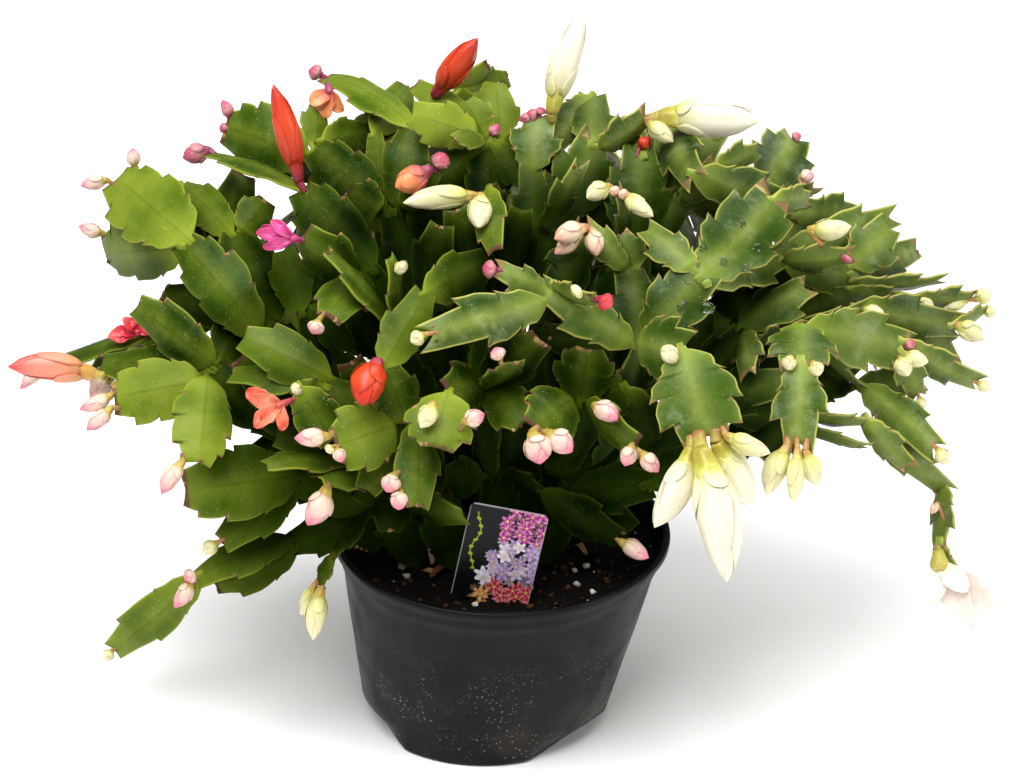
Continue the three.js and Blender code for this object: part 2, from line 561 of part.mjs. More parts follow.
// Stems. Each blade is [the blade it grows from, or -1 for the soil; right; up; how far behind the
// crown's bulge its tip lies; width; turn in degrees, where 0 shows its flat side]. The first
// `inner` blades of a stem are old, plain ones in the middle of the plant. Each bud is [blade;
// right and up of its foot; right and up of its tip; how far its tip comes forward; girth; look].
// Each flower is the same, up to its throat, and then its petals: [right and up of its tip; how far
// it comes forward; width].
const stems = {
  left_high: {
    kind: 'round',
    root: [-30, 14],
    inner: 3,
    blades: [
      [-1, -60, -25, 75, 24, 20],
      [0, -95, 5, 55, 26, -15],
      [1, -122, 32, 30, 28, 20],
      [2, -162, 76, -4, 31, -12],
      [2, -136, 81, 22, 34, 15],
      [3, -195, 107, -10, 40, 10],
      [3, -201, 70, 24, 33, -15],
      [4, -163, 103, 25, 22, 10],
      [4, -120, 96, 25, 22, -5],
      [1, -101, 42, 30, 20, 30],
      [9, -112, 71, 29, 22, -10],
      [0, -78, 16, 19, 26, 0],
      [9, -71, 23, 50, 24, 0],
      [7, -144, 68, 45, 20, 0],
    ],
    buds: [
      [5, -186, 112, -187, 122, 2, 7, 'pink'],
      [5, -199, 106, -213, 103, 3, 7, 'pink'],
      [6, -201, 79, -214, 83, 3, 7, 'pink'],
    ],
  },
  left_middle: {
    kind: 'round',
    root: [-36, -4],
    inner: 3,
    blades: [
      [-1, -62, -50, 70, 24, -10],
      [0, -104, -20, 46, 26, 10],
      [1, -149, 12, 22, 28, 5],
      [2, -185, 44, 0, 26, -20],
      [2, -203, 14, 14, 24, 25],
      [2, -197, -3, -8, 32, 10],
      [2, -154, -36, -16, 30, -8],
      [2, -181, 27, 34, 18, 30],
      [7, -229, 13, 24, 24, 70],
      [1, -134, 18, 19, 26, 0],
      [1, -120, -5, 24, 24, 0],
      [2, -130, 36, 42, 24, 0],
      [1, -98, -55, 66, 22, 0],
    ],
    buds: [
      [5, -197, -2, -214, -10, 5, 8, 'pink'],
      [5, -196, -7, -209, -19, 2, 8, 'pink'],
      [6, -161, -33, -172, -50, 4, 9, 'pink'],
      [8, -231, 13, -246, 1, 2, 7, 'pink'],
      [4, -206, 11, -251, 15, 10, 15, 'salmon'],
    ],
    flowers: [
      [7, -180, 29, -186, 30, 4, 7, 'salmon', [[-199, 28, 2, 8], [-176, 33, 4, 6], [-192, 37, 6, 6]]],
    ],
  },
  top_left: {
    kind: 'round',
    root: [-24, 32],
    inner: 3,
    blades: [
      [-1, -38, -20, 90, 24, 0],
      [0, -55, 20, 62, 26, 15],
      [1, -72, 60, 36, 28, -10],
      [2, -103, 102, 20, 30, 10],
      [2, -102, 79, 4, 26, -15],
      [2, -90, 37, 2, 26, 20],
      [3, -149, 119, 6, 22, 70],
      [1, -76, 40, 24, 26, 0],
    ],
    buds: [
      [3, -103, 104, -116, 153, 14, 13, 'orange'],
      [6, -148, 121, -162, 117, 3, 10, 'pink'],
      [5, -94, 36, -97, 29, 2, 8, 'pink'],
    ],
    flowers: [
      [4, -104, 77, -110, 78, 4, 7, 'salmon', [[-127, 81, 2, 8], [-124, 73, 4, 6], [-120, 87, 6, 6]]],
    ],
  },
  upper_left: {
    kind: 'round',
    root: [-12, 46],
    inner: 3,
    blades: [
      [-1, -25, 0, 114, 24, 10],
      [0, -40, 42, 70, 26, -20],
      [1, -57, 92, 38, 28, 15],
      [2, -97, 123, 25, 30, 10],
      [2, -47, 134, 11, 28, -15],
      [2, -60, 143, 36, 18, 20],
      [2, -66, 130, 24, 15, -10],
      [3, -141, 133, 10, 36, -5],
      [3, -95, 143, 14, 17, 25],
      [4, -90, 158, 10, 22, 45],
      [2, -36, 112, 14, 18, 10],
      [2, -80, 100, 29, 24, 0],
      [1, -33, 84, 14, 26, -15],
      [6, -50, 153, 44, 22, 0],
      [2, -26, 85, 58, 24, 0],
      [3, -68, 129, 45, 22, 0],
      [5, -78, 119, 56, 20, 0],
      [2, -62, 123, 48, 24, 0],
    ],
    buds: [
      [10, -37, 111, -54, 102, 8, 14, 'orange'],
      [7, -138, 136, -142, 146, 2, 7, 'pink'],
      [9, -92, 158, -99, 161, 2, 8, 'pink'],
      [5, -61, 142, -66, 136, 4, 8, 'pink'],
    ],
    flowers: [
      [9, -91, 157, -89, 151, 4, 7, 'orange', [[-92, 139, 2, 8], [-83, 142, 4, 6], [-99, 146, 6, 6]]],
    ],
  },
  top_middle: {
    kind: 'round',
    root: [4, 40],
    inner: 4,
    blades: [
      [-1, -6, -8, 98, 24, 0],
      [0, -8, 42, 76, 26, 20],
      [1, -10, 88, 54, 28, -15],
      [2, -8, 128, 26, 26, 10],
      [3, -48, 139, -10, 25, 8],
      [3, -20, 146, 4, 20, -10],
      [3, -6, 155, 16, 25, 15],
      [3, 17, 122, 32, 20, 40],
      [3, -26, 126, 2, 14, 40],
      [3, -46, 154, 26, 18, 20],
      [3, -26, 150, 40, 18, 0],
      [10, -9, 164, 22, 16, 50],
      [2, -9, 102, 12, 18, 25],
      [12, -6, 70, -2, 17, 25],
      [1, -26, 92, 14, 26, 0],
      [1, 8, 92, 19, 24, 0],
      [2, -39, 116, 74, 24, 0],
      [7, 32, 96, 52, 24, 0],
    ],
    buds: [
      [10, -39, 142, -18, 170, 20, 15, 'orange'],
      [12, -16, 99, -54, 96, 12, 12, 'cream'],
      [12, -13, 101, -14, 85, 16, 12, 'cream'],
    ],
  },
  upper_middle: {
    kind: 'claw',
    root: [19, 36],
    inner: 3,
    blades: [
      [-1, 24, -10, 114, 24, 10],
      [0, 20, 38, 88, 26, -10],
      [1, 20, 82, 52, 28, 20],
      [2, 13, 112, 26, 22, 10],
      [3, 16, 138, 2, 27, -10],
      [2, 45, 125, 18, 34, 15],
      [5, 42, 148, 6, 28, 10],
      [5, 70, 138, -5, 22, 40],
      [2, 36, 113, 8, 16, 30],
      [1, 40, 78, 19, 26, 0],
      [6, 20, 120, 26, 22, 0],
      [2, 59, 92, 72, 24, 0],
      [9, 24, 49, 39, 26, 0],
    ],
    buds: [
      [4, 22, 138, 38, 188, 8, 15, 'white'],
      [7, 71, 135, 84, 124, 6, 10, 'cream'],
      [7, 77, 140, 127, 138, 6, 20, 'white'],
    ],
  },
  right_high: {
    kind: 'claw',
    root: [34, 28],
    inner: 3,
    blades: [
      [-1, 34, -14, 100, 24, 0],
      [0, 50, 28, 76, 26, 15],
      [1, 64, 70, 50, 28, -10],
      [2, 68, 120, 19, 33, 10],
      [2, 87, 98, 36, 24, 10],
      [4, 80, 131, 22, 22, 0],
      [5, 94, 108, -6, 26, 15],
      [4, 105, 113, 6, 20, 20],
      [4, 104, 128, 20, 20, -15],
      [3, 56, 136, 40, 20, 10],
      [7, 125, 121, -6, 18, 30],
      [4, 130, 99, 36, 24, 20],
      [11, 143, 127, 8, 34, 5],
      [11, 154, 102, 4, 22, 66],
      [2, 56, 100, 6, 12, 50],
      [6, 146, 88, 24, 28, 0],
      [15, 176, 88, 44, 24, 0],
      [4, 54, 90, 56, 24, 0],
      [8, 74, 132, 40, 24, 0],
    ],
    buds: [
      [8, 103, 129, 109, 134, 2, 7, 'pink'],
      [3, 66, 122, 72, 127, 2, 6, 'orange'],
      [13, 146, 107, 154, 108, 3, 7, 'pink'],
      [14, 52, 103, 40, 97, 6, 9, 'cream'],
      [14, 60, 98, 75, 86, 8, 9, 'cream'],
    ],
  },
  right_front: {
    kind: 'claw',
    root: [40, 2],
    inner: 3,
    blades: [
      [-1, 48, -42, 62, 24, 0],
      [0, 58, -8, 48, 24, 50],
      [1, 67, 26, 20, 24, 62],
      [2, 62, 63, 24, 28, 15],
      [2, 98, 59, -4, 32, -5],
      [2, 89, 21, -20, 32, 0],
      [5, 101, -23, -26, 42, 0],
      [3, 57, 79, 16, 20, 0],
      [4, 70, 81, 4, 20, 15],
      [4, 134, 97, -8, 38, 0],
      [9, 151, 97, 6, 16, 20],
      [4, 138, 68, 26, 26, -10],
      [11, 172, 69, -4, 19, 35],
      [11, 173, 57, 26, 20, -10],
      [11, 192, 88, 16, 22, 15],
      [13, 192, 82, 6, 29, 5],
      [13, 216, 56, 2, 18, 60],
      [13, 203, 45, 18, 18, 45],
      [17, 233, 48, -2, 18, 50],
      [3, 40, 84, 8, 16, 20],
      [2, 20, 50, 12, 26, 25],
      [20, -38, 29, -8, 27, 5],
      [20, -4, 61, 2, 18, 30],
      [20, 44, 46, -6, 18, 62],
      [1, 70, 40, 34, 26, 0],
      [13, 205, 71, 46, 22, 0],
      [17, 223, 14, 38, 20, 0],
      [11, 98, 56, 46, 26, 0],
    ],
    buds: [
      [6, 93, -27, 74, -67, 4, 15, 'white'],
      [6, 98, -26, 111, -92, 14, 21, 'white'],
      [6, 106, -26, 124, -58, -14, 17, 'white'],
      [6, 108, -22, 131, -31, 4, 10, 'cream'],
      [12, 150, 80, 172, 82, 6, 11, 'cream'],
      [16, 197, 57, 204, 55, 4, 8, 'cream'],
      [17, 203, 48, 214, 42, 4, 7, 'cream'],
      [18, 234, 46, 243, 50, 2, 8, 'cream'],
      [19, 41, 83, 25, 77, 6, 11, 'pink'],
      [19, 42, 82, 45, 68, 6, 9, 'pink'],
      [21, -41, 29, -48, 25, 2, 7, 'cream'],
      [23, 33, 49, 37, 52, 2, 7, 'cream'],
    ],
  },
  right_side: {
    kind: 'claw',
    root: [47, 16],
    inner: 3,
    blades: [
      [-1, 66, -32, 82, 24, 10],
      [0, 96, -2, 56, 26, -10],
      [1, 122, 30, 32, 26, 15],
      [2, 150, 32, 10, 24, 66],
      [3, 147, 14, -12, 34, 0],
      [3, 199, 22, -2, 30, -5],
      [2, 121, 10, 16, 18, 30],
      [4, 145, -26, -14, 27, 5],
      [2, 177, 43, 20, 20, 70],
      [8, 224, 33, 8, 25, 10],
      [9, 239, 41, 16, 14, 55],
      [5, 234, 5, 0, 18, 20],
      [5, 206, -1, 10, 17, -10],
      [3, 178, 2, 26, 18, 68],
      [13, 214, -27, -2, 24, -20],
      [1, 147, -11, 30, 24, 30],
      [15, 181, -15, 14, 20, 70],
      [16, 200, -37, 6, 18, 30],
      [16, 220, -48, 16, 18, 20],
      [15, 178, -27, 16, 16, 66],
      [18, 217, -77, -6, 16, 40],
      [20, 221, -93, -6, 13, 30],
      [1, 134, 34, 44, 28, 0],
      [2, 150, 52, 14, 26, -30],
      [1, 140, 6, 14, 26, 0],
      [15, 173, 15, 50, 24, 0],
      [22, 177, 52, 64, 24, 0],
      [22, 131, 2, 64, 22, 0],
      [13, 208, 6, 46, 20, 0],
    ],
    buds: [
      [7, 140, -26, 129, -51, 4, 12, 'cream'],
      [7, 145, -27, 143, -54, 6, 9, 'cream'],
      [7, 149, -28, 155, -46, -2, 10, 'cream'],
      [4, 142, 18, 141, 11, 4, 7, 'cream'],
      [4, 153, 15, 156, 8, 4, 7, 'cream'],
      [5, 198, 19, 211, 15, 4, 8, 'cream'],
      [5, 196, 18, 201, 8, 4, 9, 'cream'],
      [9, 224, 34, 239, 26, 3, 10, 'cream'],
      [11, 235, 5, 242, 1, 2, 6, 'cream'],
      [14, 215, -28, 221, -36, 2, 7, 'cream'],
      [18, 218, -54, 219, -62, 5, 6, 'pink'],
    ],
    flowers: [
      [20, 216, -85, 217, -96, 3, 10, 'white',
        [[244, -117, 3, 14], [233, -124, 6, 11], [213, -113, 8, 9], [231, -106, 12, 9]]],
    ],
  },
  middle: {
    kind: 'round',
    root: [6, -12],
    inner: 2,
    blades: [
      [-1, -6, -40, 62, 24, 10],
      [0, -12, 6, 36, 26, -55],
      [1, -30, -1, 6, 28, 0],
      [2, -36, -28, -10, 34, 5],
      [1, 4, 15, 8, 22, 60],
      [1, 5, 34, 22, 26, -10],
      [1, 17, 27, 15, 28, 20],
      [0, 4, -15, 58, 30, 0],
      [0, 19, -50, 46, 20, 60],
      [8, 57, -74, 42, 22, 25],
      [0, -32, -43, 66, 22, 0],
      [1, 8, -16, 14, 24, 0],
      [1, 6, 42, 56, 26, 0],
    ],
    buds: [
      [3, -36, -5, -43, -18, 3, 9, 'cream'],
      [9, 57, -75, 72, -84, 4, 9, 'pink'],
      [4, -3, 16, -6, 22, 3, 7, 'pink'],
      [5, 9, 33, 11, 47, 4, 8, 'orange'],
    ],
  },
  middle_right: {
    kind: 'round',
    root: [26, -20],
    inner: 2,
    blades: [
      [-1, 30, -45, 58, 24, -20],
      [0, 39, -3, 28, 26, 20],
      [1, 41, 22, 18, 30, 0],
      [1, 66, -27, 2, 22, 45],
      [1, 14, -19, -6, 30, 0],
      [0, 62, -71, 50, 28, 10],
      [0, 74, -46, 34, 26, 0],
      [1, 60, 2, 24, 26, 15],
      [6, 89, -20, 54, 26, 0],
      [7, 72, -26, 44, 24, 0],
    ],
    buds: [
      [1, 41, -4, 53, -11, 12, 10, 'pink'],
      [3, 63, -26, 59, -37, 4, 8, 'pink'],
      [4, 13, -20, 17, -36, 6, 13, 'pink'],
      [4, 20, -20, 33, -30, 4, 11, 'pink'],
    ],
  },
  middle_left: {
    kind: 'round',
    root: [-14, -24],
    inner: 2,
    blades: [
      [-1, -36, -50, 52, 24, 15],
      [0, -52, -14, 26, 26, -20],
      [1, -86, -27, -6, 34, 0],
      [1, -45, -58, 0, 24, -15],
      [1, -62, 14, 10, 26, 10],
      [1, -55, 32, 34, 20, 66],
      [5, -90, 71, -6, 22, 66],
      [5, -58, 68, 2, 22, 66],
      [1, -92, 3, 18, 24, 20],
      [8, -132, 28, 2, 27, 5],
      [8, -104, 2, 4, 16, 0],
      [8, -138, 9, 14, 20, 40],
      [1, -70, -50, 14, 24, -15],
      [4, -40, 50, 14, 24, 0],
      [10, -87, -25, 14, 24, 0],
      [13, -8, 66, 34, 26, 0],
    ],
    buds: [
      [4, -65, 16, -73, -6, 16, 17, 'orange'],
      [2, -88, -22, -106, -23, 5, 9, 'pink'],
      [3, -56, -41, -60, -50, 5, 9, 'pink'],
      [3, -53, -49, -54, -59, 5, 8, 'pink'],
      [10, -103, 3, -107, 0, 3, 6, 'cream'],
      [7, -55, 64, -51, 60, 3, 7, 'cream'],
    ],
    flowers: [
      [10, -110, -5, -119, -9, 4, 7, 'salmon', [[-134, -1, 2, 8], [-130, -19, 4, 8], [-116, -21, 6, 6]]],
    ],
  },
  low_left: {
    kind: 'round',
    root: [-33, -22],
    inner: 1,
    blades: [
      [-1, -62, -52, 58, 24, 0],
      [0, -80, -34, 34, 24, 20],
      [1, -84, -48, 6, 27, 0],
      [1, -121, -36, -4, 20, 60],
      [1, -116, -23, 26, 20, 20],
      [0, -106, -44, 36, 26, -10],
      [5, -162, -49, 0, 37, 0],
      [5, -143, -75, 14, 25, 10],
      [0, -108, -77, 42, 24, 10],
      [8, -155, -93, 14, 22, 30],
      [8, -146, -97, 28, 22, -10],
      [9, -197, -129, -10, 24, -10],
      [0, -88, -84, 26, 20, 66],
      [12, -94, -96, 22, 12, 50],
      [0, -58, -70, 32, 21, 0],
      [0, -72, -79, 50, 24, 0],
      [0, -21, -62, 16, 22, 50],
    ],
    buds: [
      [2, -89, -48, -99, -67, 5, 13, 'pink'],
      [13, -93, -96, -97, -122, 4, 11, 'cream'],
      [13, -97, -98, -104, -114, -8, 8, 'cream'],
      [7, -144, -75, -152, -81, 2, 7, 'cream'],
      [9, -157, -94, -166, -108, 4, 8, 'pink'],
      [9, -155, -91, -161, -94, 4, 7, 'pink'],
      [11, -197, -129, -201, -134, 2, 6, 'cream'],
    ],
  },
};

// Stems on the far side, placed by rule: each climbs from its root, arches over and droops, and
// forks to both sides. Heading is in degrees from straight back, positive towards +X.
const farStems = [
  { name: 'far_left_low', kind: 'round', root: [-42, 42], heading: -66, reach: 176, rise: 104 },
  { name: 'far_left_high', kind: 'round', root: [-22, 58], heading: -42, reach: 128, rise: 158 },
  { name: 'far_mid_left', kind: 'round', root: [-6, 68], heading: -22, reach: 150, rise: 98 },
  { name: 'far_middle', kind: 'claw', root: [10, 62], heading: 0, reach: 108, rise: 166 },
  { name: 'far_mid_right', kind: 'claw', root: [24, 70], heading: 20, reach: 150, rise: 102 },
  { name: 'far_right_high', kind: 'claw', root: [38, 58], heading: 44, reach: 128, rise: 154 },
  { name: 'far_right_low', kind: 'claw', root: [52, 42], heading: 64, reach: 178, rise: 106 },
];
const farSteps = 5;
const farDroop = 0.85;
const farFork = 38;
const farTuck = 0.45;
const farForks = [[1, 1], [2, -1], [3, 1], [3, -1]];

function farBlades(stem, order) {
  const start = new THREE.Vector3(stem.root[0], stem.root[1], soilTop + rootRise);
  const heading = THREE.MathUtils.degToRad(stem.heading);
  const outward = new THREE.Vector3(Math.sin(heading), Math.cos(heading), 0);
  const blades = [];
  let from = start;
  for (let k = 1; k <= farSteps; k += 1) {
    const share = k / farSteps;
    const sway = 16 * (vary(order * 31 + k) - 0.5);
    const to = start.clone()
      .addScaledVector(outward, stem.reach * share ** 1.25)
      .add(new THREE.Vector3(outward.y * sway, -outward.x * sway, 0));
    to.z = soilTop + stem.rise * Math.sin(Math.PI * farDroop * share);
    blades.push({ parent: k - 2, from, to, width: 25 + 6 * vary(order * 17 + k) });
    from = to;
  }
  farForks.forEach(([joint, side], n) => {
    const carrier = blades[joint];
    const way = carrier.to.clone().sub(carrier.from).normalize();
    const swing = side * THREE.MathUtils.degToRad(46 + 20 * vary(order * 7 + n));
    const lift = new THREE.Vector3(outward.y, -outward.x, 0).cross(way).normalize();
    way.applyAxisAngle(lift, -swing);
    way.addScaledVector(lift, -farTuck * (0.3 + vary(order * 5 + n)));
    const to = carrier.to.clone().addScaledVector(way.normalize(), farFork + 8 * vary(order + n));
    blades.push({ parent: joint, from: carrier.to, to, width: 24 + 7 * vary(order * 3 + n) });
  });
  return spreadNecks(blades.map((blade, n) => {
    const middle = blade.from.clone().lerp(blade.to, 0.5);
    const face = middle.sub(new THREE.Vector3(0, 20, soilTop + 20)).normalize();
    const turn = 50 * (vary(order * 13 + n) - 0.5);
    const outline = n < 2 ? 'plain' : `${stem.kind}Small`;
    const flip = n % 2 ? 1 : -1;
    return { ...blade, neck: blade.from, neckHalf: rootHalf, rise: 0, face, turn, outline, flip };
  }));
}

function nearBlades(stem) {
  const blades = [];
  stem.blades.forEach(([parent, right, up, back, width, turn], n) => {
    const root = new THREE.Vector3(stem.root[0], stem.root[1], soilTop + rootRise);
    const from = parent < 0 ? root : blades[parent].to;
    const to = sighted(right, up, crownNear(right, up) - back);
    const face = eye.clone().sub(from.clone().lerp(to, 0.5)).normalize();
    const large = width >= largeWidth ? stem.kind : `${stem.kind}Small`;
    const outline = n < stem.inner ? 'plain' : large;
    const near = crownNear(right, up) - back;
    const flip = n % 2 ? 1 : -1;
    blades.push({
      parent, from, neck: from, neckHalf: rootHalf, rise: 0, to, width, turn, face, outline, near, flip,
    });
  });
  return spreadNecks(blades);
}

// The buds of a stem, and its flowers, from their places in the view.
function nearBuds(stem, blades) {
  return stem.buds.map(([blade, right, up, tipRight, tipUp, forward, girth, look]) => ({
    from: sighted(right, up, blades[blade].near),
    to: sighted(tipRight, tipUp, blades[blade].near + forward),
    tip: blades[blade].to,
    girth,
    look,
  }));
}

function nearFlowers(stem, blades) {
  return (stem.flowers ?? []).map(([blade, right, up, tipRight, tipUp, forward, girth, look, petals]) => {
    const near = blades[blade].near + flowerLift;
    return {
      from: sighted(right, up, near),
      to: sighted(tipRight, tipUp, near + forward),
      tip: blades[blade].to,
      girth,
      look,
      petals: petals.map(([r, u, ahead, width]) => [sighted(r, u, near + ahead), width]),
    };
  });
}

// Slides a solid out, towards the viewer and along its own way, until it is clear of all the others,
// and then back to within seatGap of the stem that carries it.
function seated(solid, way, tip, carrier, others) {
  const slide = new THREE.Vector3();
  const at = (place) => solid.translate(place.toArray());
  const clear = (place) => others.every((other) => other.minGap(at(place), budGap * 2) >= budGap);
  const out = way.clone().multiplyScalar(0.4).add(sightNear).multiplyScalar(seatStep);
  for (let count = 0; count < seatSteps && !clear(slide); count += 1) {
    slide.add(out);
  }
  for (let count = 0; count < seatSteps; count += 1) {
    const gap = (place) => carrier.minGap(at(place), seatReach);
    const ways = [way.clone().negate(), sightNear.clone().negate(), tip.clone().sub(slide).normalize()];
    const next = ways
      .map((direction) => slide.clone().addScaledVector(direction, seatStep / 2))
      .filter(clear)
      .sort((a, b) => gap(a) - gap(b))[0];
    if (!next || gap(slide) <= seatGap || gap(next) >= gap(slide)) {
      break;
    }
    slide.copy(next);
  }
  return at(slide);
}

const looks = {};
const solids = {};
const loose = [];
const isLone = (bud) => bud.from.distanceTo(bud.to) >= loneBudLength;

Object.entries(stems).forEach(([name, stem]) => {
  const blades = nearBlades(stem);
  const buds = nearBuds(stem, blades);
  const small = buds.filter((bud) => !isLone(bud)).map((bud) => {
    const foot = bud.from.clone().addScaledVector(bud.to.clone().sub(bud.from).normalize(), -sunk);
    return budSolid(foot, bud.to, bud.girth, 4);
  });
  solids[`stem_${name}`] = mainBody(fused([stemSolid(blades), ...small]).simplify(slack));
  looks[`stem_${name}`] = stem.kind;
  buds.filter(isLone).forEach((bud, n) => {
    const solid = budSolid(bud.from, bud.to, bud.girth, 6);
    loose.push({ ...bud, name: `${name}_bud_${n + 1}`, solid, carrier: `stem_${name}` });
  });
  nearFlowers(stem, blades).forEach((flower) => {
    loose.push({ ...flower, name: `${name}_flower`, solid: flowerSolid(flower), carrier: `stem_${name}` });
  });
});
farStems.forEach((stem, order) => {
  solids[`stem_${stem.name}`] = mainBody(stemSolid(farBlades(stem, order + 1)).simplify(slack));
  looks[`stem_${stem.name}`] = stem.kind;
});
loose.forEach(({ name, solid, from, to, tip, carrier, look }) => {
  const way = to.clone().sub(from).normalize();
  solids[name] = seated(solid, way, tip.clone().sub(from), solids[carrier], Object.values(solids));
  looks[name] = look;
});

const roots = [...Object.values(stems), ...farStems].map((stem) => stem.root);
const plant = new THREE.Group();
plant.add(named('pot', geometryOf(potSolid()), 'pot'));
plant.add(named('soil', geometryOf(soilSolid(roots)), 'soil'));
plant.add(named('label', geometryOf(labelSolid()), 'card'));
Object.entries(solids).forEach(([name, solid]) => {
  plant.add(named(name, geometryOf(solid), looks[name]));
});

export default plant;
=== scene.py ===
import json
import math

import bpy
import numpy as np
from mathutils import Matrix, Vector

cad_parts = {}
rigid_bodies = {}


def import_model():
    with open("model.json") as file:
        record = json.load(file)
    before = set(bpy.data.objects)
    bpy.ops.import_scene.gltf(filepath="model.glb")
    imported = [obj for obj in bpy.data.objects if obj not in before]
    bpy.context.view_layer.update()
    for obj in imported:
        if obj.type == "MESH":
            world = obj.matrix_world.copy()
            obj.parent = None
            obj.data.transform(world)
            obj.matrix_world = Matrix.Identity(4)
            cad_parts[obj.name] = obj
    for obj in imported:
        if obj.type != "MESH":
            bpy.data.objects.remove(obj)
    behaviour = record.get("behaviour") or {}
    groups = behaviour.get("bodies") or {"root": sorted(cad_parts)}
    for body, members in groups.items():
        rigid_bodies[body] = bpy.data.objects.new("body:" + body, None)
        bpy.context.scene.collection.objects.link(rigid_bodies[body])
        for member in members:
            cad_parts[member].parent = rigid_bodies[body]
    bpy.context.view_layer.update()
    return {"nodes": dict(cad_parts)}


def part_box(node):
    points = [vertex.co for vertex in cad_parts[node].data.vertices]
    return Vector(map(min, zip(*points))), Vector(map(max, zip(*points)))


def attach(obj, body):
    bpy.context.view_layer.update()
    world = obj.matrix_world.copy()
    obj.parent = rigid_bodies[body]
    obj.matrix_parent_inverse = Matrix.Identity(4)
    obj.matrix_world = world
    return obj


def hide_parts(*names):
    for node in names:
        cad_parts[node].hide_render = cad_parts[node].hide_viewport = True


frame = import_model()
print("cactus: frame loaded,", len(frame["nodes"]), "nodes")

# Everything is worked out in millimetres and turned into Blender's metres when a mesh is made.
millimetre = 0.001

# The camera's view, which the stems are also placed in: right, up and near, from a point over
# the pot
plantView = {
    "centre": (11.0, 30.2, 162.0),
    "tilt": 26.0,  # degrees that the camera looks down
    "distance": 1500.0,
    "width": 506.5,  # what the picture spans at the centre
}
viewTilt = math.radians(plantView["tilt"])
sightCentre = np.array(plantView["centre"])
sightRight = np.array([1.0, 0.0, 0.0])
sightUp = np.array([0.0, math.sin(viewTilt), math.cos(viewTilt)])
sightNear = np.array([0.0, -math.cos(viewTilt), math.sin(viewTilt)])
eye = sightCentre + plantView["distance"] * sightNear

# How the crown bulges towards the viewer
crown = {"bulge": 115.0, "rim": -8.0, "halfWidth": 245.0, "halfHeight": 165.0, "up": -9.0}


# Small helpers

def vary(seed):  # a repeatable draw between 0 and 1
    wave = math.sin(seed * 12.9898 + 4.1414) * 43758.5453
    return wave - math.floor(wave)


def drawn(pair, seed):  # a draw from a pair of numbers: the least, and how much more it may be
    return pair[0] + pair[1] * vary(seed)


def unit(vector):
    return vector / np.linalg.norm(vector)


def turnAbout(vector, axis, degrees):
    angle = math.radians(degrees)
    along = axis * np.dot(axis, vector) * (1 - math.cos(angle))
    return vector * math.cos(angle) + np.cross(axis, vector) * math.sin(angle) + along


def ease(value, low, high):
    share = np.clip((value - low) / (high - low), 0, 1)
    return share * share * (3 - 2 * share)


def crownNear(right, up):
    across = right / crown["halfWidth"]
    above = (up - crown["up"]) / crown["halfHeight"]
    return crown["rim"] + crown["bulge"] * (1 - across * across - above * above)


# Painted shade: the deeper in the crown's bulge a point lies, the darker its leaf is painted, fading out
# towards the crown's outer edge
def paintedCrownShade(points):  # how deep in the crown each point lies, from 0 at the outside to 1
    offset = points - sightCentre
    near = offset @ sightNear
    shrink = 1 - near / plantView["distance"]
    right, up = offset @ sightRight / shrink, offset @ sightUp / shrink
    across = right / crown["halfWidth"]
    above = (up - crown["up"]) / crown["halfHeight"]
    behind = crownNear(right, up) - near
    return ease(behind, 0, 34) * ease(-np.hypot(across, above), -1.06, -0.6)


def sighted(right, up, near):
    shrink = 1 - near / plantView["distance"]
    return sightCentre + sightRight * right * shrink + sightUp * up * shrink + sightNear * near


def lumps(x, y, size, seed):  # smoothly joined random heights between -0.5 and 0.5
    gx, gy = np.floor(x / size), np.floor(y / size)
    fx, fy = x / size - gx, y / size - gy
    fx, fy = fx * fx * (3 - 2 * fx), fy * fy * (3 - 2 * fy)

    def corner(cx, cy):
        wave = np.sin(cx * 127.1 + cy * 311.7 + seed * 74.7) * 43758.5453
        return wave - np.floor(wave)

    low = corner(gx, gy) * (1 - fx) + corner(gx + 1, gy) * fx
    high = corner(gx, gy + 1) * (1 - fx) + corner(gx + 1, gy + 1) * fx
    return low * (1 - fy) + high * fy - 0.5


# A skin collects the closed parts of one piece. Each point carries three sets of up to three
# numbers for its material. On a segment, place is how far from the edge, from the midrib and along
# it lies, tone is how light it is, how old and in painted shade, and how corky, and mark is its
# vein, tip and wear. On a bud or petal, place is how far along and how near an edge it lies, and
# mark tells a folded petal.

def newSkin():
    return {"points": [], "faces": [], "looks": [], "place": [], "tone": [], "mark": [], "count": 0}


def addPart(skin, points, faces, look, place=None, tone=None, mark=None):
    points = np.asarray(points, float).reshape(-1, 3)
    corners = np.array([face[:3] for face in faces])
    a, b, c = (points[corners[:, k]] - points.mean(0) for k in range(3))
    if np.einsum("ij,ij->i", a, np.cross(b, c)).sum() < 0:  # its faces look inwards
        faces = [face[::-1] for face in faces]
    start = skin["count"]
    skin["points"].append(points)
    skin["faces"].extend([[start + int(k) for k in face] for face in faces])
    skin["looks"].extend([look] * len(faces))
    for key, values in (("place", place), ("tone", tone), ("mark", mark)):
        filled = np.zeros((len(points), 3))
        if values is not None:
            values = np.asarray(values, float)
            filled[:, :values.shape[-1]] = values.reshape(-1, values.shape[-1])
        skin[key].append(filled)
    skin["count"] += len(points)


def makePiece(name, skin, materials, nodes):
    mesh = bpy.data.meshes.new(name)
    mesh.from_pydata((np.concatenate(skin["points"]) * millimetre).tolist(), [], skin["faces"])
    for key in ("place", "tone", "mark"):
        layer = mesh.attributes.new(key, "FLOAT_VECTOR", "POINT")
        layer.data.foreach_set("vector", np.concatenate(skin[key]).astype(np.float32).ravel())
    for material in materials:
        mesh.materials.append(material)
    mesh.polygons.foreach_set("material_index", np.array(skin["looks"], np.int32))
    mesh.polygons.foreach_set("use_smooth", np.ones(len(mesh.polygons), bool))
    mesh.update()
    piece = bpy.data.objects.new(name, mesh)
    bpy.context.scene.collection.objects.link(piece)
    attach(piece, "root")
    if nodes:
        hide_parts(*nodes)
    return piece


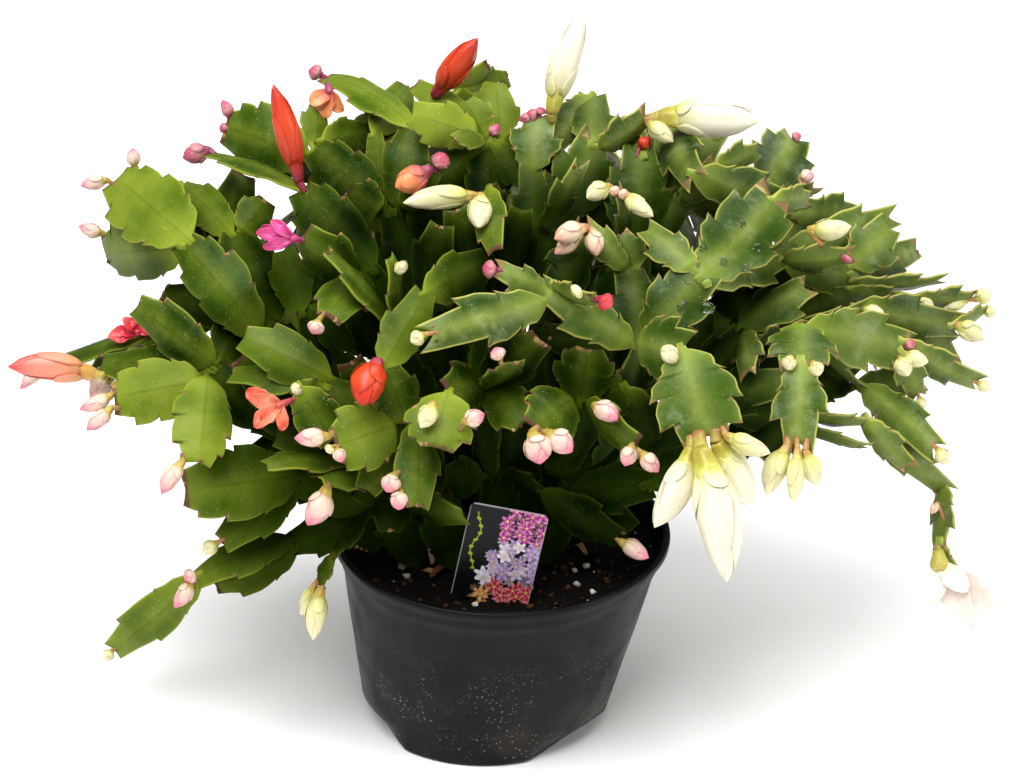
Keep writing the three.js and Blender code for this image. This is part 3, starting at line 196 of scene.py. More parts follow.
def tubeFaces(rings, sides):  # quads between closed rings of points, with a cap at each end
    faces = []
    for ring in range(rings - 1):
        low = ring * sides
        for k in range(sides):
            near = (k + 1) % sides
            faces.append([low + k, low + near, low + sides + near, low + sides + k])
    faces.append(list(range(sides))[::-1])
    faces.append([(rings - 1) * sides + k for k in range(sides)])
    return faces


def strapFaces(rings, columns):  # the same round a flat strap: its columns on top, an edge, and below
    sides = 2 * columns + 2
    faces = tubeFaces(rings, sides)[:-2]
    cap = [[k, k + 1, 2 * columns - k - 1, 2 * columns - k] for k in range(columns - 1)]
    cap += [[columns - 1, columns, columns + 1], [2 * columns, 2 * columns + 1, 0]]
    faces += [face[::-1] for face in cap]
    faces += [[(rings - 1) * sides + k for k in face] for face in cap]
    return faces


def strapRing(columns):  # which column and which level each point of such a ring has
    order = list(range(columns))
    column = order + [columns - 1] + order[::-1] + [0]
    level = [1.0] * columns + [0.0] + [-1.0] * columns + [0.0]
    return np.array(column), np.array(level)


def ringPoints(centre, side, other, radius, sides):  # a circle in the plane of two directions
    points = []
    for k in range(sides):
        angle = 2 * math.pi * k / sides
        points.append(centre + (side * math.cos(angle) + other * math.sin(angle)) * radius)
    return points


# Shader helpers

def colour(code):  # a screen colour as the linear values that a socket takes
    parts = [int(code[k:k + 2], 16) / 255 for k in (0, 2, 4)]
    linear = [c / 12.92 if c <= 0.04045 else ((c + 0.055) / 1.055) ** 2.4 for c in parts]
    return (*linear, 1.0)


def addNode(tree, kind, inputs=None, **settings):
    node = tree.nodes.new("ShaderNode" + kind)
    for key, value in settings.items():
        setattr(node, key, value)
    for key, value in (inputs or {}).items():
        if isinstance(value, bpy.types.NodeSocket):
            tree.links.new(value, node.inputs[key])
        elif isinstance(value, str):
            node.inputs[key].default_value = colour(value)
        else:
            node.inputs[key].default_value = value
    return node


def calc(tree, operation, first, second=0.0):
    return addNode(tree, "Math", {0: first, 1: second}, operation=operation).outputs[0]


def times(tree, first, second):
    return calc(tree, "MULTIPLY", first, second)


def plus(tree, first, second):
    return calc(tree, "ADD", first, second)


def minus(tree, first, second):
    return calc(tree, "SUBTRACT", first, second)


def fade(tree, value, low, high, start=0.0, end=1.0):  # from start at low to end at high, smoothly
    inputs = {"Value": value, "From Min": low, "From Max": high, "To Min": start, "To Max": end}
    return addNode(tree, "MapRange", inputs, interpolation_type="SMOOTHSTEP").outputs[0]


def blend(tree, share, first, second, way="MIX"):
    node = addNode(tree, "Mix", {0: share, 6: first, 7: second}, data_type="RGBA", blend_type=way)
    return node.outputs[2]


def grain(tree, scale, detail=3.0, rough=0.5, stretch=None):  # cloudy noise, scale to a metre
    where = addNode(tree, "TexCoord").outputs["Object"]
    if stretch:
        where = addNode(tree, "Mapping", {"Vector": where, "Scale": stretch}).outputs[0]
    inputs = {"Vector": where, "Scale": scale, "Detail": detail, "Roughness": rough}
    return addNode(tree, "TexNoise", inputs).outputs["Fac"]


def dots(tree, scale, size):  # round specks of that share of a cell
    where = addNode(tree, "TexCoord").outputs["Object"]
    cells = addNode(tree, "TexVoronoi", {"Vector": where, "Scale": scale})
    near = fade(tree, cells.outputs["Distance"], size, size * 0.6)
    draw = addNode(tree, "SeparateXYZ", {0: cells.outputs["Color"]}).outputs[0]
    return near, draw


def marks(tree, name):  # the three numbers of one of the points' marks
    vector = addNode(tree, "Attribute", attribute_name=name).outputs["Vector"]
    return addNode(tree, "SeparateXYZ", {0: vector}).outputs


def newMaterial(name, roughness, **sockets):
    material = bpy.data.materials.new(name)
    material.use_nodes = True
    tree = material.node_tree
    shader = tree.nodes["Principled BSDF"]
    shader.inputs["Roughness"].default_value = roughness
    for key, value in sockets.items():
        shader.inputs[key.replace("_", " ")].default_value = value
    return material, tree, shader


def bumpUp(tree, shader, height, distance, strength=1.0):
    inputs = {"Height": height, "Distance": distance, "Strength": strength}
    tree.links.new(addNode(tree, "Bump", inputs).outputs[0], shader.inputs["Normal"])


# Stem segments
segment = {
    "rows": 32,
    "farRows": 26,
    "innerRows": 20,
    "columns": (-1, -0.93, -0.72, -0.42, -0.12, 0, 0.12, 0.42, 0.72, 0.93, 1),
    "edge": 0.4,  # half of the thickness at the edge
    "middle": 0.95,
    "rib": 0.38,  # how much the midrib adds
    "ribWidth": 1.7,
    "vein": 0.07,
    "wave": 0.7,
    "arch": 0.05,  # share of the length
    "cup": 0.16,  # share of half the width
    "tip": 0.965,  # where the next segments grow, as a share of the length
    "spacing": 5.2,  # between the necks on one tip
    "spread": 15.0,  # the most that they take up
    "rise": 2.6,  # how far each is bent up clear of the next
    "riseOver": 0.07,  # share of the length in which it gets there
    "sunk": 3.5,
    "freeTip": 0.012,  # how much further a tip reaches that nothing grows from
    "sweep": 1.4,  # how late the rows bend out to the teeth
    "veinWidth": 1.3,
    "toothWidth": 1.5,
    "thinEnd": 0.55,
    "bend": 0.12,  # the most that it curves sideways, as a share of the length
    "roundEdge": 0.2,
    "youngWaves": 24,  # segments narrower than this are waved less
    "farShade": 0.75,  # how shaded the far side's undersides are
}

# Outlines from neck to tip, as [share of length, share of half width], teeth and notches in turn
outlines = {
    "round": (
        [[0.25, 0.86], [0.25, 0.75], [0.52, 1.02], [0.52, 0.84], [0.79, 0.94], [0.78, 0.73], [1.01, 0.5]],
        [[0.33, 0.93], [0.33, 0.82], [0.67, 1.01], [0.67, 0.8], [0.9, 0.78], [0.89, 0.59], [1.01, 0.4]],
    ),
    "claw": (
        [[0.25, 0.78], [0.225, 0.61], [0.49, 1.05], [0.45, 0.75], [0.8, 1.0], [0.755, 0.65], [1.12, 0.56]],
        [[0.34, 0.88], [0.31, 0.69], [0.67, 1.06], [0.63, 0.75], [0.93, 0.82], [0.89, 0.54], [1.1, 0.36]],
    ),
    "roundSmall": (
        [[0.29, 0.86], [0.29, 0.76], [0.6, 1.02], [0.6, 0.83], [1.01, 0.52]],
        [[0.37, 0.93], [0.37, 0.83], [0.77, 0.98], [0.765, 0.74], [1.01, 0.42]],
    ),
    "clawSmall": (
        [[0.29, 0.86], [0.265, 0.65], [0.61, 1.06], [0.57, 0.7], [1.12, 0.58]],
        [[0.38, 0.92], [0.355, 0.71], [0.76, 1.03], [0.71, 0.65], [1.1, 0.4]],
    ),
    "plain": (
        [[0.28, 0.84], [0.29, 0.76], [0.53, 1.0], [0.55, 0.8], [0.8, 0.98], [0.81, 0.78], [1.02, 0.58]],
        [[0.36, 0.9], [0.37, 0.8], [0.68, 1.0], [0.69, 0.79], [1.0, 0.54]],
    ),
}


def setFrame(blade):
    along = blade["to"] - blade["neck"]
    blade["length"] = float(np.linalg.norm(along))
    blade["along"] = unit(along)
    across = unit(np.cross(blade["along"], blade["face"]))
    blade["across"] = turnAbout(across, blade["along"], blade["turn"])
    blade["normal"] = np.cross(blade["across"], blade["along"])


def bladePoint(blade, t, aside, above):
    t, aside, above = np.broadcast_arrays(np.asarray(t, float), aside, above)
    share = 2 * aside / blade["width"]
    arch = segment["arch"] * blade["length"] * 4 * t * (1 - t)
    cup = segment["cup"] * blade["width"] * 0.5 * share * share
    rise = blade["rise"] * np.clip(t / segment["riseOver"], 0, 1) * (1 - t)
    way = np.multiply.outer(t * blade["length"], blade["along"])
    way = way + np.multiply.outer(aside, blade["across"])
    way = way + np.multiply.outer(arch - cup + above, blade["normal"])
    return blade["neck"] + way + np.multiply.outer(rise, blade["face"])


def spreadNecks(blades):  # segments that grow from one tip stand side by side along it
    for number, parent in enumerate(blades):
        setFrame(parent)
        children = [blade for blade in blades if blade["parent"] == number]
        count = len(children)
        parent["children"] = children
        spacing = min(segment["spacing"], segment["spread"] / max(1, count))

        def pull(blade, way):
            return float(np.dot(unit(blade["to"] - parent["to"]), way))

        for n, blade in enumerate(sorted(children, key=lambda b: pull(b, parent["across"]))):
            slide = (n - (count - 1) / 2) * spacing
            blade["neck"] = bladePoint(parent, segment["tip"], slide, 0.0)
            blade["neckHalf"] = spacing / 2
        for n, blade in enumerate(sorted(children, key=lambda b: pull(b, b["face"]))):
            blade["rise"] = (n - (count - 1) / 2) * segment["rise"]
    return blades


# How an edge runs up to a tooth and back to a notch, in shares of the length and the half width
teeth = {
    "hook": {"round": 0.16, "claw": 0.26},  # how hollow it is below a tooth
    "lobe": {"round": 0.06, "claw": 0.05},  # how full it is after a notch
    "slide": 0.05,  # how far a tooth may stray along the edge, and how much lower it may be
    "lower": 0.07,
    "steps": 14,
    "backSteps": 4,
    "neck": 0.8,
}


def newBlade(parent, start, to, width, turn, face, outline, number):
    return {
        "parent": parent, "neck": start, "neckHalf": 2.6, "rise": 0.0, "to": to, "width": width,
        "turn": turn, "face": face, "outline": outline, "flip": number % 2 == 1,
        "inward": False, "rows": segment["rows"],
    }


def toothLine(kind, first, toTooth, share, start, height):  # the edge's height between two corners
    if not toTooth:
        return start + (height - start) * share ** 0.8
    rise = math.sin(share * math.pi / 2) ** 0.85 if first else 1 - (1 - share) ** 1.9
    hollow = math.sin(math.pi * max(0.0, share - 0.5) / 0.5)
    rise -= teeth["hook"][kind] * (1 - start / height * 0.4) * hollow
    full = 0.0 if first else teeth["lobe"][kind] * math.sin(math.pi * share ** 0.75)
    return start + (height - start) * rise + full


def sideOutline(blade, side, rows):
    points = outlines[blade["outline"]][0 if (side < 0) == blade["flip"] else 1]
    half = blade["width"] / 2
    seed = blade["seed"] + (7 if side < 0 else 3)
    kind = "claw" if blade["outline"].startswith("claw") else "round"
    ts, hs = [0.0], [blade["neckHalf"] * teeth["neck"] / half]
    last = (0.0, hs[0])
    corners = [0]
    for n, (t, h) in enumerate(points):
        toTooth = n % 2 == 0
        if n < len(points) - 1:
            t = t + teeth["slide"] * (vary(seed + (n // 2) * 1.7) - 0.5)
        h = h * (1 - teeth["lower"] * vary(seed * 1.3 + n))
        steps = teeth["steps"] if toTooth else teeth["backSteps"]
        for k in range(1, steps + 1):
            share = k / steps
            ts.append(last[0] + (t - last[0]) * share)
            hs.append(toothLine(kind, n == 0, toTooth, share, last[1], h))
        corners.append(len(ts) - 1)
        last = (t, h)
    ts, hs = np.array(ts), np.array(hs)
    steps = np.hypot(np.diff(ts) * blade["length"], np.diff(hs) * half)
    walked = np.concatenate([[0], np.cumsum(steps)])
    places = list(walked[corners])  # a row stands at each tooth and notch, and the rest between them
    while len(places) < rows:
        widest = int(np.argmax(np.diff(places)))
        places.insert(widest + 1, (places[widest] + places[widest + 1]) / 2)
    return np.interp(places, walked, ts), np.interp(places, walked, hs) * half, ts[corners[1:]]


def nearness(places, keys, length, width):  # how near each row is to any of some places on the edge
    return sum(np.exp(-((places - key) * length / width) ** 2) for key in keys)


def addBlade(skin, blade, look):
    rows = blade["rows"]
    columns = np.array(segment["columns"], float)
    column, level = strapRing(len(columns))
    length, seed = blade["length"], blade["seed"]
    middle = np.linspace(0, 1, rows) * (segment["tip"] + (0.0 if blade["children"] else segment["freeTip"]))
    t, aside, edge, vein, cork, wave = (np.zeros((rows, len(columns))) for _ in range(6))
    for side in (-1, 1):
        places, halves, keys = sideOutline(blade, side, rows)
        phase = vary(seed + side) * 6.3
        for c in np.nonzero(columns * side > (0 if side > 0 else -0.001))[0]:
            share = abs(columns[c])
            t[:, c] = middle + (places - middle) * share ** segment["sweep"]
            aside[:, c] = columns[c] * halves
            edge[:, c] = (1 - share) * halves
            vein[:, c] = nearness(places, keys[1::2], length, segment["veinWidth"])
            vein[:, c] *= (1 - share) ** 0.5 * ease(share, 0, 0.1)
            cork[:, c] = nearness(places, keys[0::2], length, segment["toothWidth"]) * ease(share, 0.8, 1.0)
            wave[:, c] = share ** 3 * np.sin(places * (9 + 5 * vary(seed + 5)) + phase)
    toTip = (middle[-1] - t) * length
    thick = segment["edge"] + (segment["middle"] - segment["edge"]) * (1 - columns ** 2) ** 0.8
    thick = thick + segment["rib"] * np.exp(-(aside / segment["ribWidth"]) ** 2) * ease(-t, -1.0, -0.7)
    thick = thick + segment["vein"] * vein + 0.3 * ease(-t, -0.12, 0.0)
    thick = thick * (segment["thinEnd"] + (1 - segment["thinEnd"]) * ease(toTip, -1.0, 2.5))
    lift = segment["wave"] * wave * ease(t, 0.05, 0.3) * min(1.0, blade["width"] / segment["youngWaves"])
    bend = segment["bend"] * length * (vary(seed + 9) - 0.5) * t * (1 - t) * ease(t, 0, 0.1)
    rim = np.where(level == 0, segment["roundEdge"], 0.0) * np.sign(columns[column])
    t, aside, edge, vein, cork, toTip, lift, bend = (
        values[:, column] for values in (t, aside, edge, vein, cork, toTip, lift, bend)
    )
    thick = thick[:, column] * level
    points = bladePoint(blade, t, aside + rim + bend, lift + thick)
    buried = bladePoint(blade, -segment["sunk"] / length, aside[0] * 0.9, thick[0])
    points = np.concatenate([buried[None], points])
    under = np.broadcast_to((1 - level) / 2, t.shape)
    place = np.stack([edge, np.abs(aside), t], axis=-1)
    # Painted shade: near segments darker deep in the crown, far ones darker on their undersides; it joins
    # each segment's age
    deep = paintedCrownShade(points[1:]) if blade["inward"] else segment["farShade"] * under
    age = np.maximum(blade["age"], deep)
    tone = np.stack([np.full(t.shape, blade["tone"]), age, cork], axis=-1)
    worn = np.full(t.shape, vary(seed * 2.9 + 1))
    mark = np.stack([vein, toTip, worn], axis=-1)
    place, tone, mark = (np.concatenate([values[:1], values]) for values in (place, tone, mark))
    addPart(skin, points, strapFaces(rows + 1, len(columns)), look, place, tone, mark)


# The woody foot of a stem, from under the soil into its first segment
foot = {
    "girth": 5.4, "waist": 4.2, "depth": 12.0, "sides": 12, "rings": 10,
    "end": 0.16, "knobs": 0.12, "flat": 0.5,
}


def addFoot(skin, blade, look):
    low = blade["neck"] - np.array([0.0, 0.0, foot["depth"]])
    high = bladePoint(blade, foot["end"], 0.0, 0.0)
    points = []
    for ring in range(foot["rings"]):
        share = ring / (foot["rings"] - 1)
        middle = (1 - share) ** 2 * low + 2 * share * (1 - share) * blade["neck"] + share ** 2 * high
        radius = 0.5 * (foot["girth"] * (1 - share) + foot["waist"] * share)
        radius = radius * (1 - 0.6 * max(0, share - 0.7))
        for k in range(foot["sides"]):
            angle = 2 * math.pi * k / foot["sides"]
            knob = 1 + foot["knobs"] * (vary(ring * 3.7 + k * 1.9) - 0.5)
            level = np.array([math.cos(angle), math.sin(angle), 0.0])
            leafy = blade["across"] * math.cos(angle) + blade["normal"] * math.sin(angle) * foot["flat"]
            points.append(middle + (level * (1 - share) + share * leafy) * radius * knob)
    marked = [3.0, 1.0, 0.1], [blade["tone"], 1.0, 0.8], [0.0, 20.0, 0.0]  # far from an edge, old and in painted shade, and corky
    addPart(skin, points, tubeFaces(foot["rings"], foot["sides"]), look, *marked)


# Buds: a narrow ribbed base, then petals wrapped round each other
bud = {
    "rings": 30,
    "sides": 36,
    "profile": [
        [0, 0.19], [0.05, 0.225], [0.12, 0.265], [0.18, 0.295], [0.22, 0.345], [0.29, 0.42], [0.38, 0.48],
        [0.5, 0.49], [0.62, 0.455], [0.74, 0.385], [0.85, 0.27], [0.92, 0.17], [0.97, 0.08], [1, 0.01],
    ],
    # each petal: where it starts and ends on the bud, the way it faces, half its angle in degrees
    "petals": [
        [0.2, 0.96, 200, 74], [0.2, 0.93, 330, 72], [0.19, 0.87, 80, 70], [0.18, 0.72, 262, 50],
        [0.17, 0.6, 20, 46], [0.16, 0.5, 140, 42],
    ],
    "longPetals": [
        [0.2, 0.975, 200, 84], [0.2, 0.96, 330, 80], [0.19, 0.95, 80, 76], [0.18, 0.5, 262, 56],
        [0.17, 0.4, 20, 48], [0.16, 0.34, 140, 44],
    ],
    "petalRows": 13,
    "petalColumns": 9,
    "smallFine": 0.5,  # how many of the rings and sides a bud has that is fused to its stem
    "smallRows": 7,
    "smallColumns": 5,
    "petalThick": 0.24,
    "petalStep": {"petals": 0.01, "longPetals": 0.005},  # how far each stands over the next, in girths
    "ribs": 5,
    "ribDepth": 0.08,
    "sway": 0.05,
    "blunt": 0.12,  # how much rounder a short one is at the tip
    "petalTurn": 14,  # how many degrees a petal may stray
    "petalCurl": 0.012,  # in girths
    "slim": 0.92,  # how much narrower the coloured buds are than their plain forms
    "colourFoot": 0.07,
    "sunk": 0.6,  # how far a stalk reaches into it
}

# The short stalk between a segment and a bud
stalk = {
    "rings": 7,
    "sides": 16,
    "radii": (0.155, 0.155, 0.17, 0.19),  # in girths of the bud
    "least": 0.8,
    "along": (0.62, 0.7, 0.78, 0.86, 0.93),  # where on a segment it may start
    "aside": np.linspace(-0.36, 0.36, 9),
}


def budFrame(start, to):
    along = unit(to - start)
    side = unit(np.cross(along, sightNear))
    return along, side, np.cross(along, side)


def addBud(skin, start, to, girth, look, seed, fine=1.0, petals="petals"):
    along, side, other = budFrame(start, to)
    length = float(np.linalg.norm(to - start))
    rings = int(bud["rings"] * fine)
    sides = int(bud["sides"] * fine)
    profile = np.array(bud["profile"])
    blunt = 1 + bud["blunt"] - bud["blunt"] * min(1.0, length / girth / 3)

    def radiusAt(t):
        return np.interp(np.clip(t, 0, 1) ** blunt, profile[:, 0], profile[:, 1]) * girth

    sway = bud["sway"] * length * (vary(seed + 4) - 0.5) * 2

    def pointAt(t, turn, radius):
        lean = sway * np.sin(math.pi * t)
        spots = start + np.multiply.outer(t * length, along)
        spots = spots + np.multiply.outer(radius * np.cos(turn) + lean, side)
        return spots + np.multiply.outer(radius * np.sin(turn), other)

    ts = 1 - (1 - np.linspace(0, 1, rings)) ** 1.15
    angle = np.arange(sides) * 2 * math.pi / sides
    t, turn = np.meshgrid(ts, angle, indexing="ij")
    rib = bud["ribDepth"] * np.cos(bud["ribs"] * turn + seed) * ease(-t, -0.28, -0.1) * ease(t, 0, 0.05)
    spread = radiusAt(t) * (1 + rib)
    place = np.maximum(t, bud["colourFoot"])[..., None]
    addPart(skin, pointAt(t, turn, spread), tubeFaces(rings, sides), look, place)
    wrapPetals(skin, radiusAt, pointAt, girth, look, seed, fine >= 1, petals)


def wrapPetals(skin, radiusAt, pointAt, girth, look, seed, fine, petals):
    columns = bud["petalColumns"] if fine else bud["smallColumns"]
    rows = bud["petalRows"] if fine else bud["smallRows"]
    u = np.linspace(-1, 1, columns)
    column, level = strapRing(columns)
    for n, (low, high, facing, half) in enumerate(bud[petals]):
        share = np.linspace(0, 1, rows)[:, None]
        at = low + (high - low) * share
        width = np.minimum(1, 0.55 + share * 1.6) * np.clip(1 - share ** 2.6, 0.0025, 1) ** 0.55
        turned = facing + 360 * vary(seed) + bud["petalTurn"] * (vary(seed + n) - 0.5)
        across = math.radians(turned) + math.radians(half) * width * u
        over = 0.004 + bud["petalStep"][petals] * n
        lift = girth * over + girth * 0.008 * share ** 3 * (0.5 + vary(seed * 3 + n))
        lift = lift + girth * bud["petalCurl"] * u ** 4
        lift = lift + bud["petalCurl"] * girth * np.sin(across * 5 + n)
        lift = lift * ease(share, -0.05, 0.16)
        body = bud["petalThick"] * (0.35 + 0.65 * (1 - u ** 2)) * (0.3 + 0.7 * ease(1 - share, 0, 0.12))
        at, across, lift, body = (
            np.broadcast_to(values, (rows, columns))[:, column] for values in (at, across, lift, body)
        )
        radius = radiusAt(at) + lift + body * level * 0.5
        edge = np.broadcast_to(np.abs(u), (rows, columns))[:, column]
        ends = np.broadcast_to(share, at.shape)
        place = np.stack([at, np.maximum(edge, ends ** 3)], axis=-1)
        mark = np.stack([np.ones(at.shape), ends], axis=-1)
        addPart(skin, pointAt(at, across, radius), strapFaces(rows, columns), look, place, mark=mark)


# A thin petal along a line of points, as wide as widths say across the way given
def addPetal(
    skin, line, way, widths, thick, cup, look, seed, place=(0.0, 1.0), columns=7, ruffle=0.0, crumple=0.0,
):
    line = np.array(line, float)
    rows = len(line)
    u = np.linspace(-1, 1, columns)
    column, level = strapRing(columns)
    tangent = np.gradient(line, axis=0)
    tangent /= np.linalg.norm(tangent, axis=1)[:, None]
    ways = np.broadcast_to(way, line.shape)
    ways = ways - tangent * np.sum(ways * tangent, axis=1)[:, None]
    ways = ways / np.linalg.norm(ways, axis=1)[:, None]
    out = np.cross(ways, tangent)
    share = np.linspace(0, 1, rows)[:, None]
    half = np.array(widths, float)[:, None] / 2
    depth = cup * half * 2 * u ** 2
    depth = depth + ruffle * np.abs(u) ** 2 * np.sin(share * 9 + vary(seed) * 6 + u * 2.2) * share
    span = float(np.linalg.norm(line[-1] - line[0]))
    walked, spread = share * span, half * u + 31 * vary(seed + 3)
    folds = lumps(walked, spread, 4.2, seed) + 0.55 * lumps(walked, spread, 2.0, seed + 2)
    depth = depth + crumple * folds * ease(share, 0.05, 0.4)
    torn = 1 + 0.16 * crumple * lumps(walked, np.sign(u) * 5 + 0 * spread, 2.4, seed + 5) * np.abs(u)
    body = thick * 0.5 * (0.35 + 0.65 * (1 - u ** 2)) * np.ones((rows, 1))
    body = body * (0.4 + 0.6 * ease(1 - share, 0, 0.15))
    rim = np.where(level == 0, 0.06, 0.0) * np.sign(u[column])
    aside = (half * u * torn)[:, column] + rim
    above = depth[:, column] + body[:, column] * level
    points = line[:, None, :] + aside[:, :, None] * ways[:, None, :] + above[:, :, None] * out[:, None, :]
    t = place[0] + (place[1] - place[0]) * share * np.ones((1, len(column)))
    spots = np.stack([t, np.abs(u[column]) * np.ones((rows, 1))], axis=-1)
    addPart(skin, points, strapFaces(rows, columns), look, spots, [vary(seed + 1)])


# Crumbs of soil and corky knobs
lump = {"rings": 5, "sides": 7, "least": 0.75, "uneven": 0.5}


def addLump(skin, centre, size, look, seed, flat=0.75):  # an uneven crumb or knob
    points = []
    for ring in range(lump["rings"]):
        polar = math.pi * (ring + 0.35) / (lump["rings"] - 0.3)
        for k in range(lump["sides"]):
            angle = 2 * math.pi * (k + 0.5 * (ring % 2)) / lump["sides"]
            radius = size * (lump["least"] + lump["uneven"] * vary(seed * 7.1 + ring * 3.3 + k))
            x, y = math.sin(polar) * math.cos(angle), math.sin(polar) * math.sin(angle)
            points.append(centre + radius * np.array([x, y, math.cos(polar) * flat]))
    addPart(skin, points, tubeFaces(lump["rings"], lump["sides"]), look, tone=[vary(seed)])


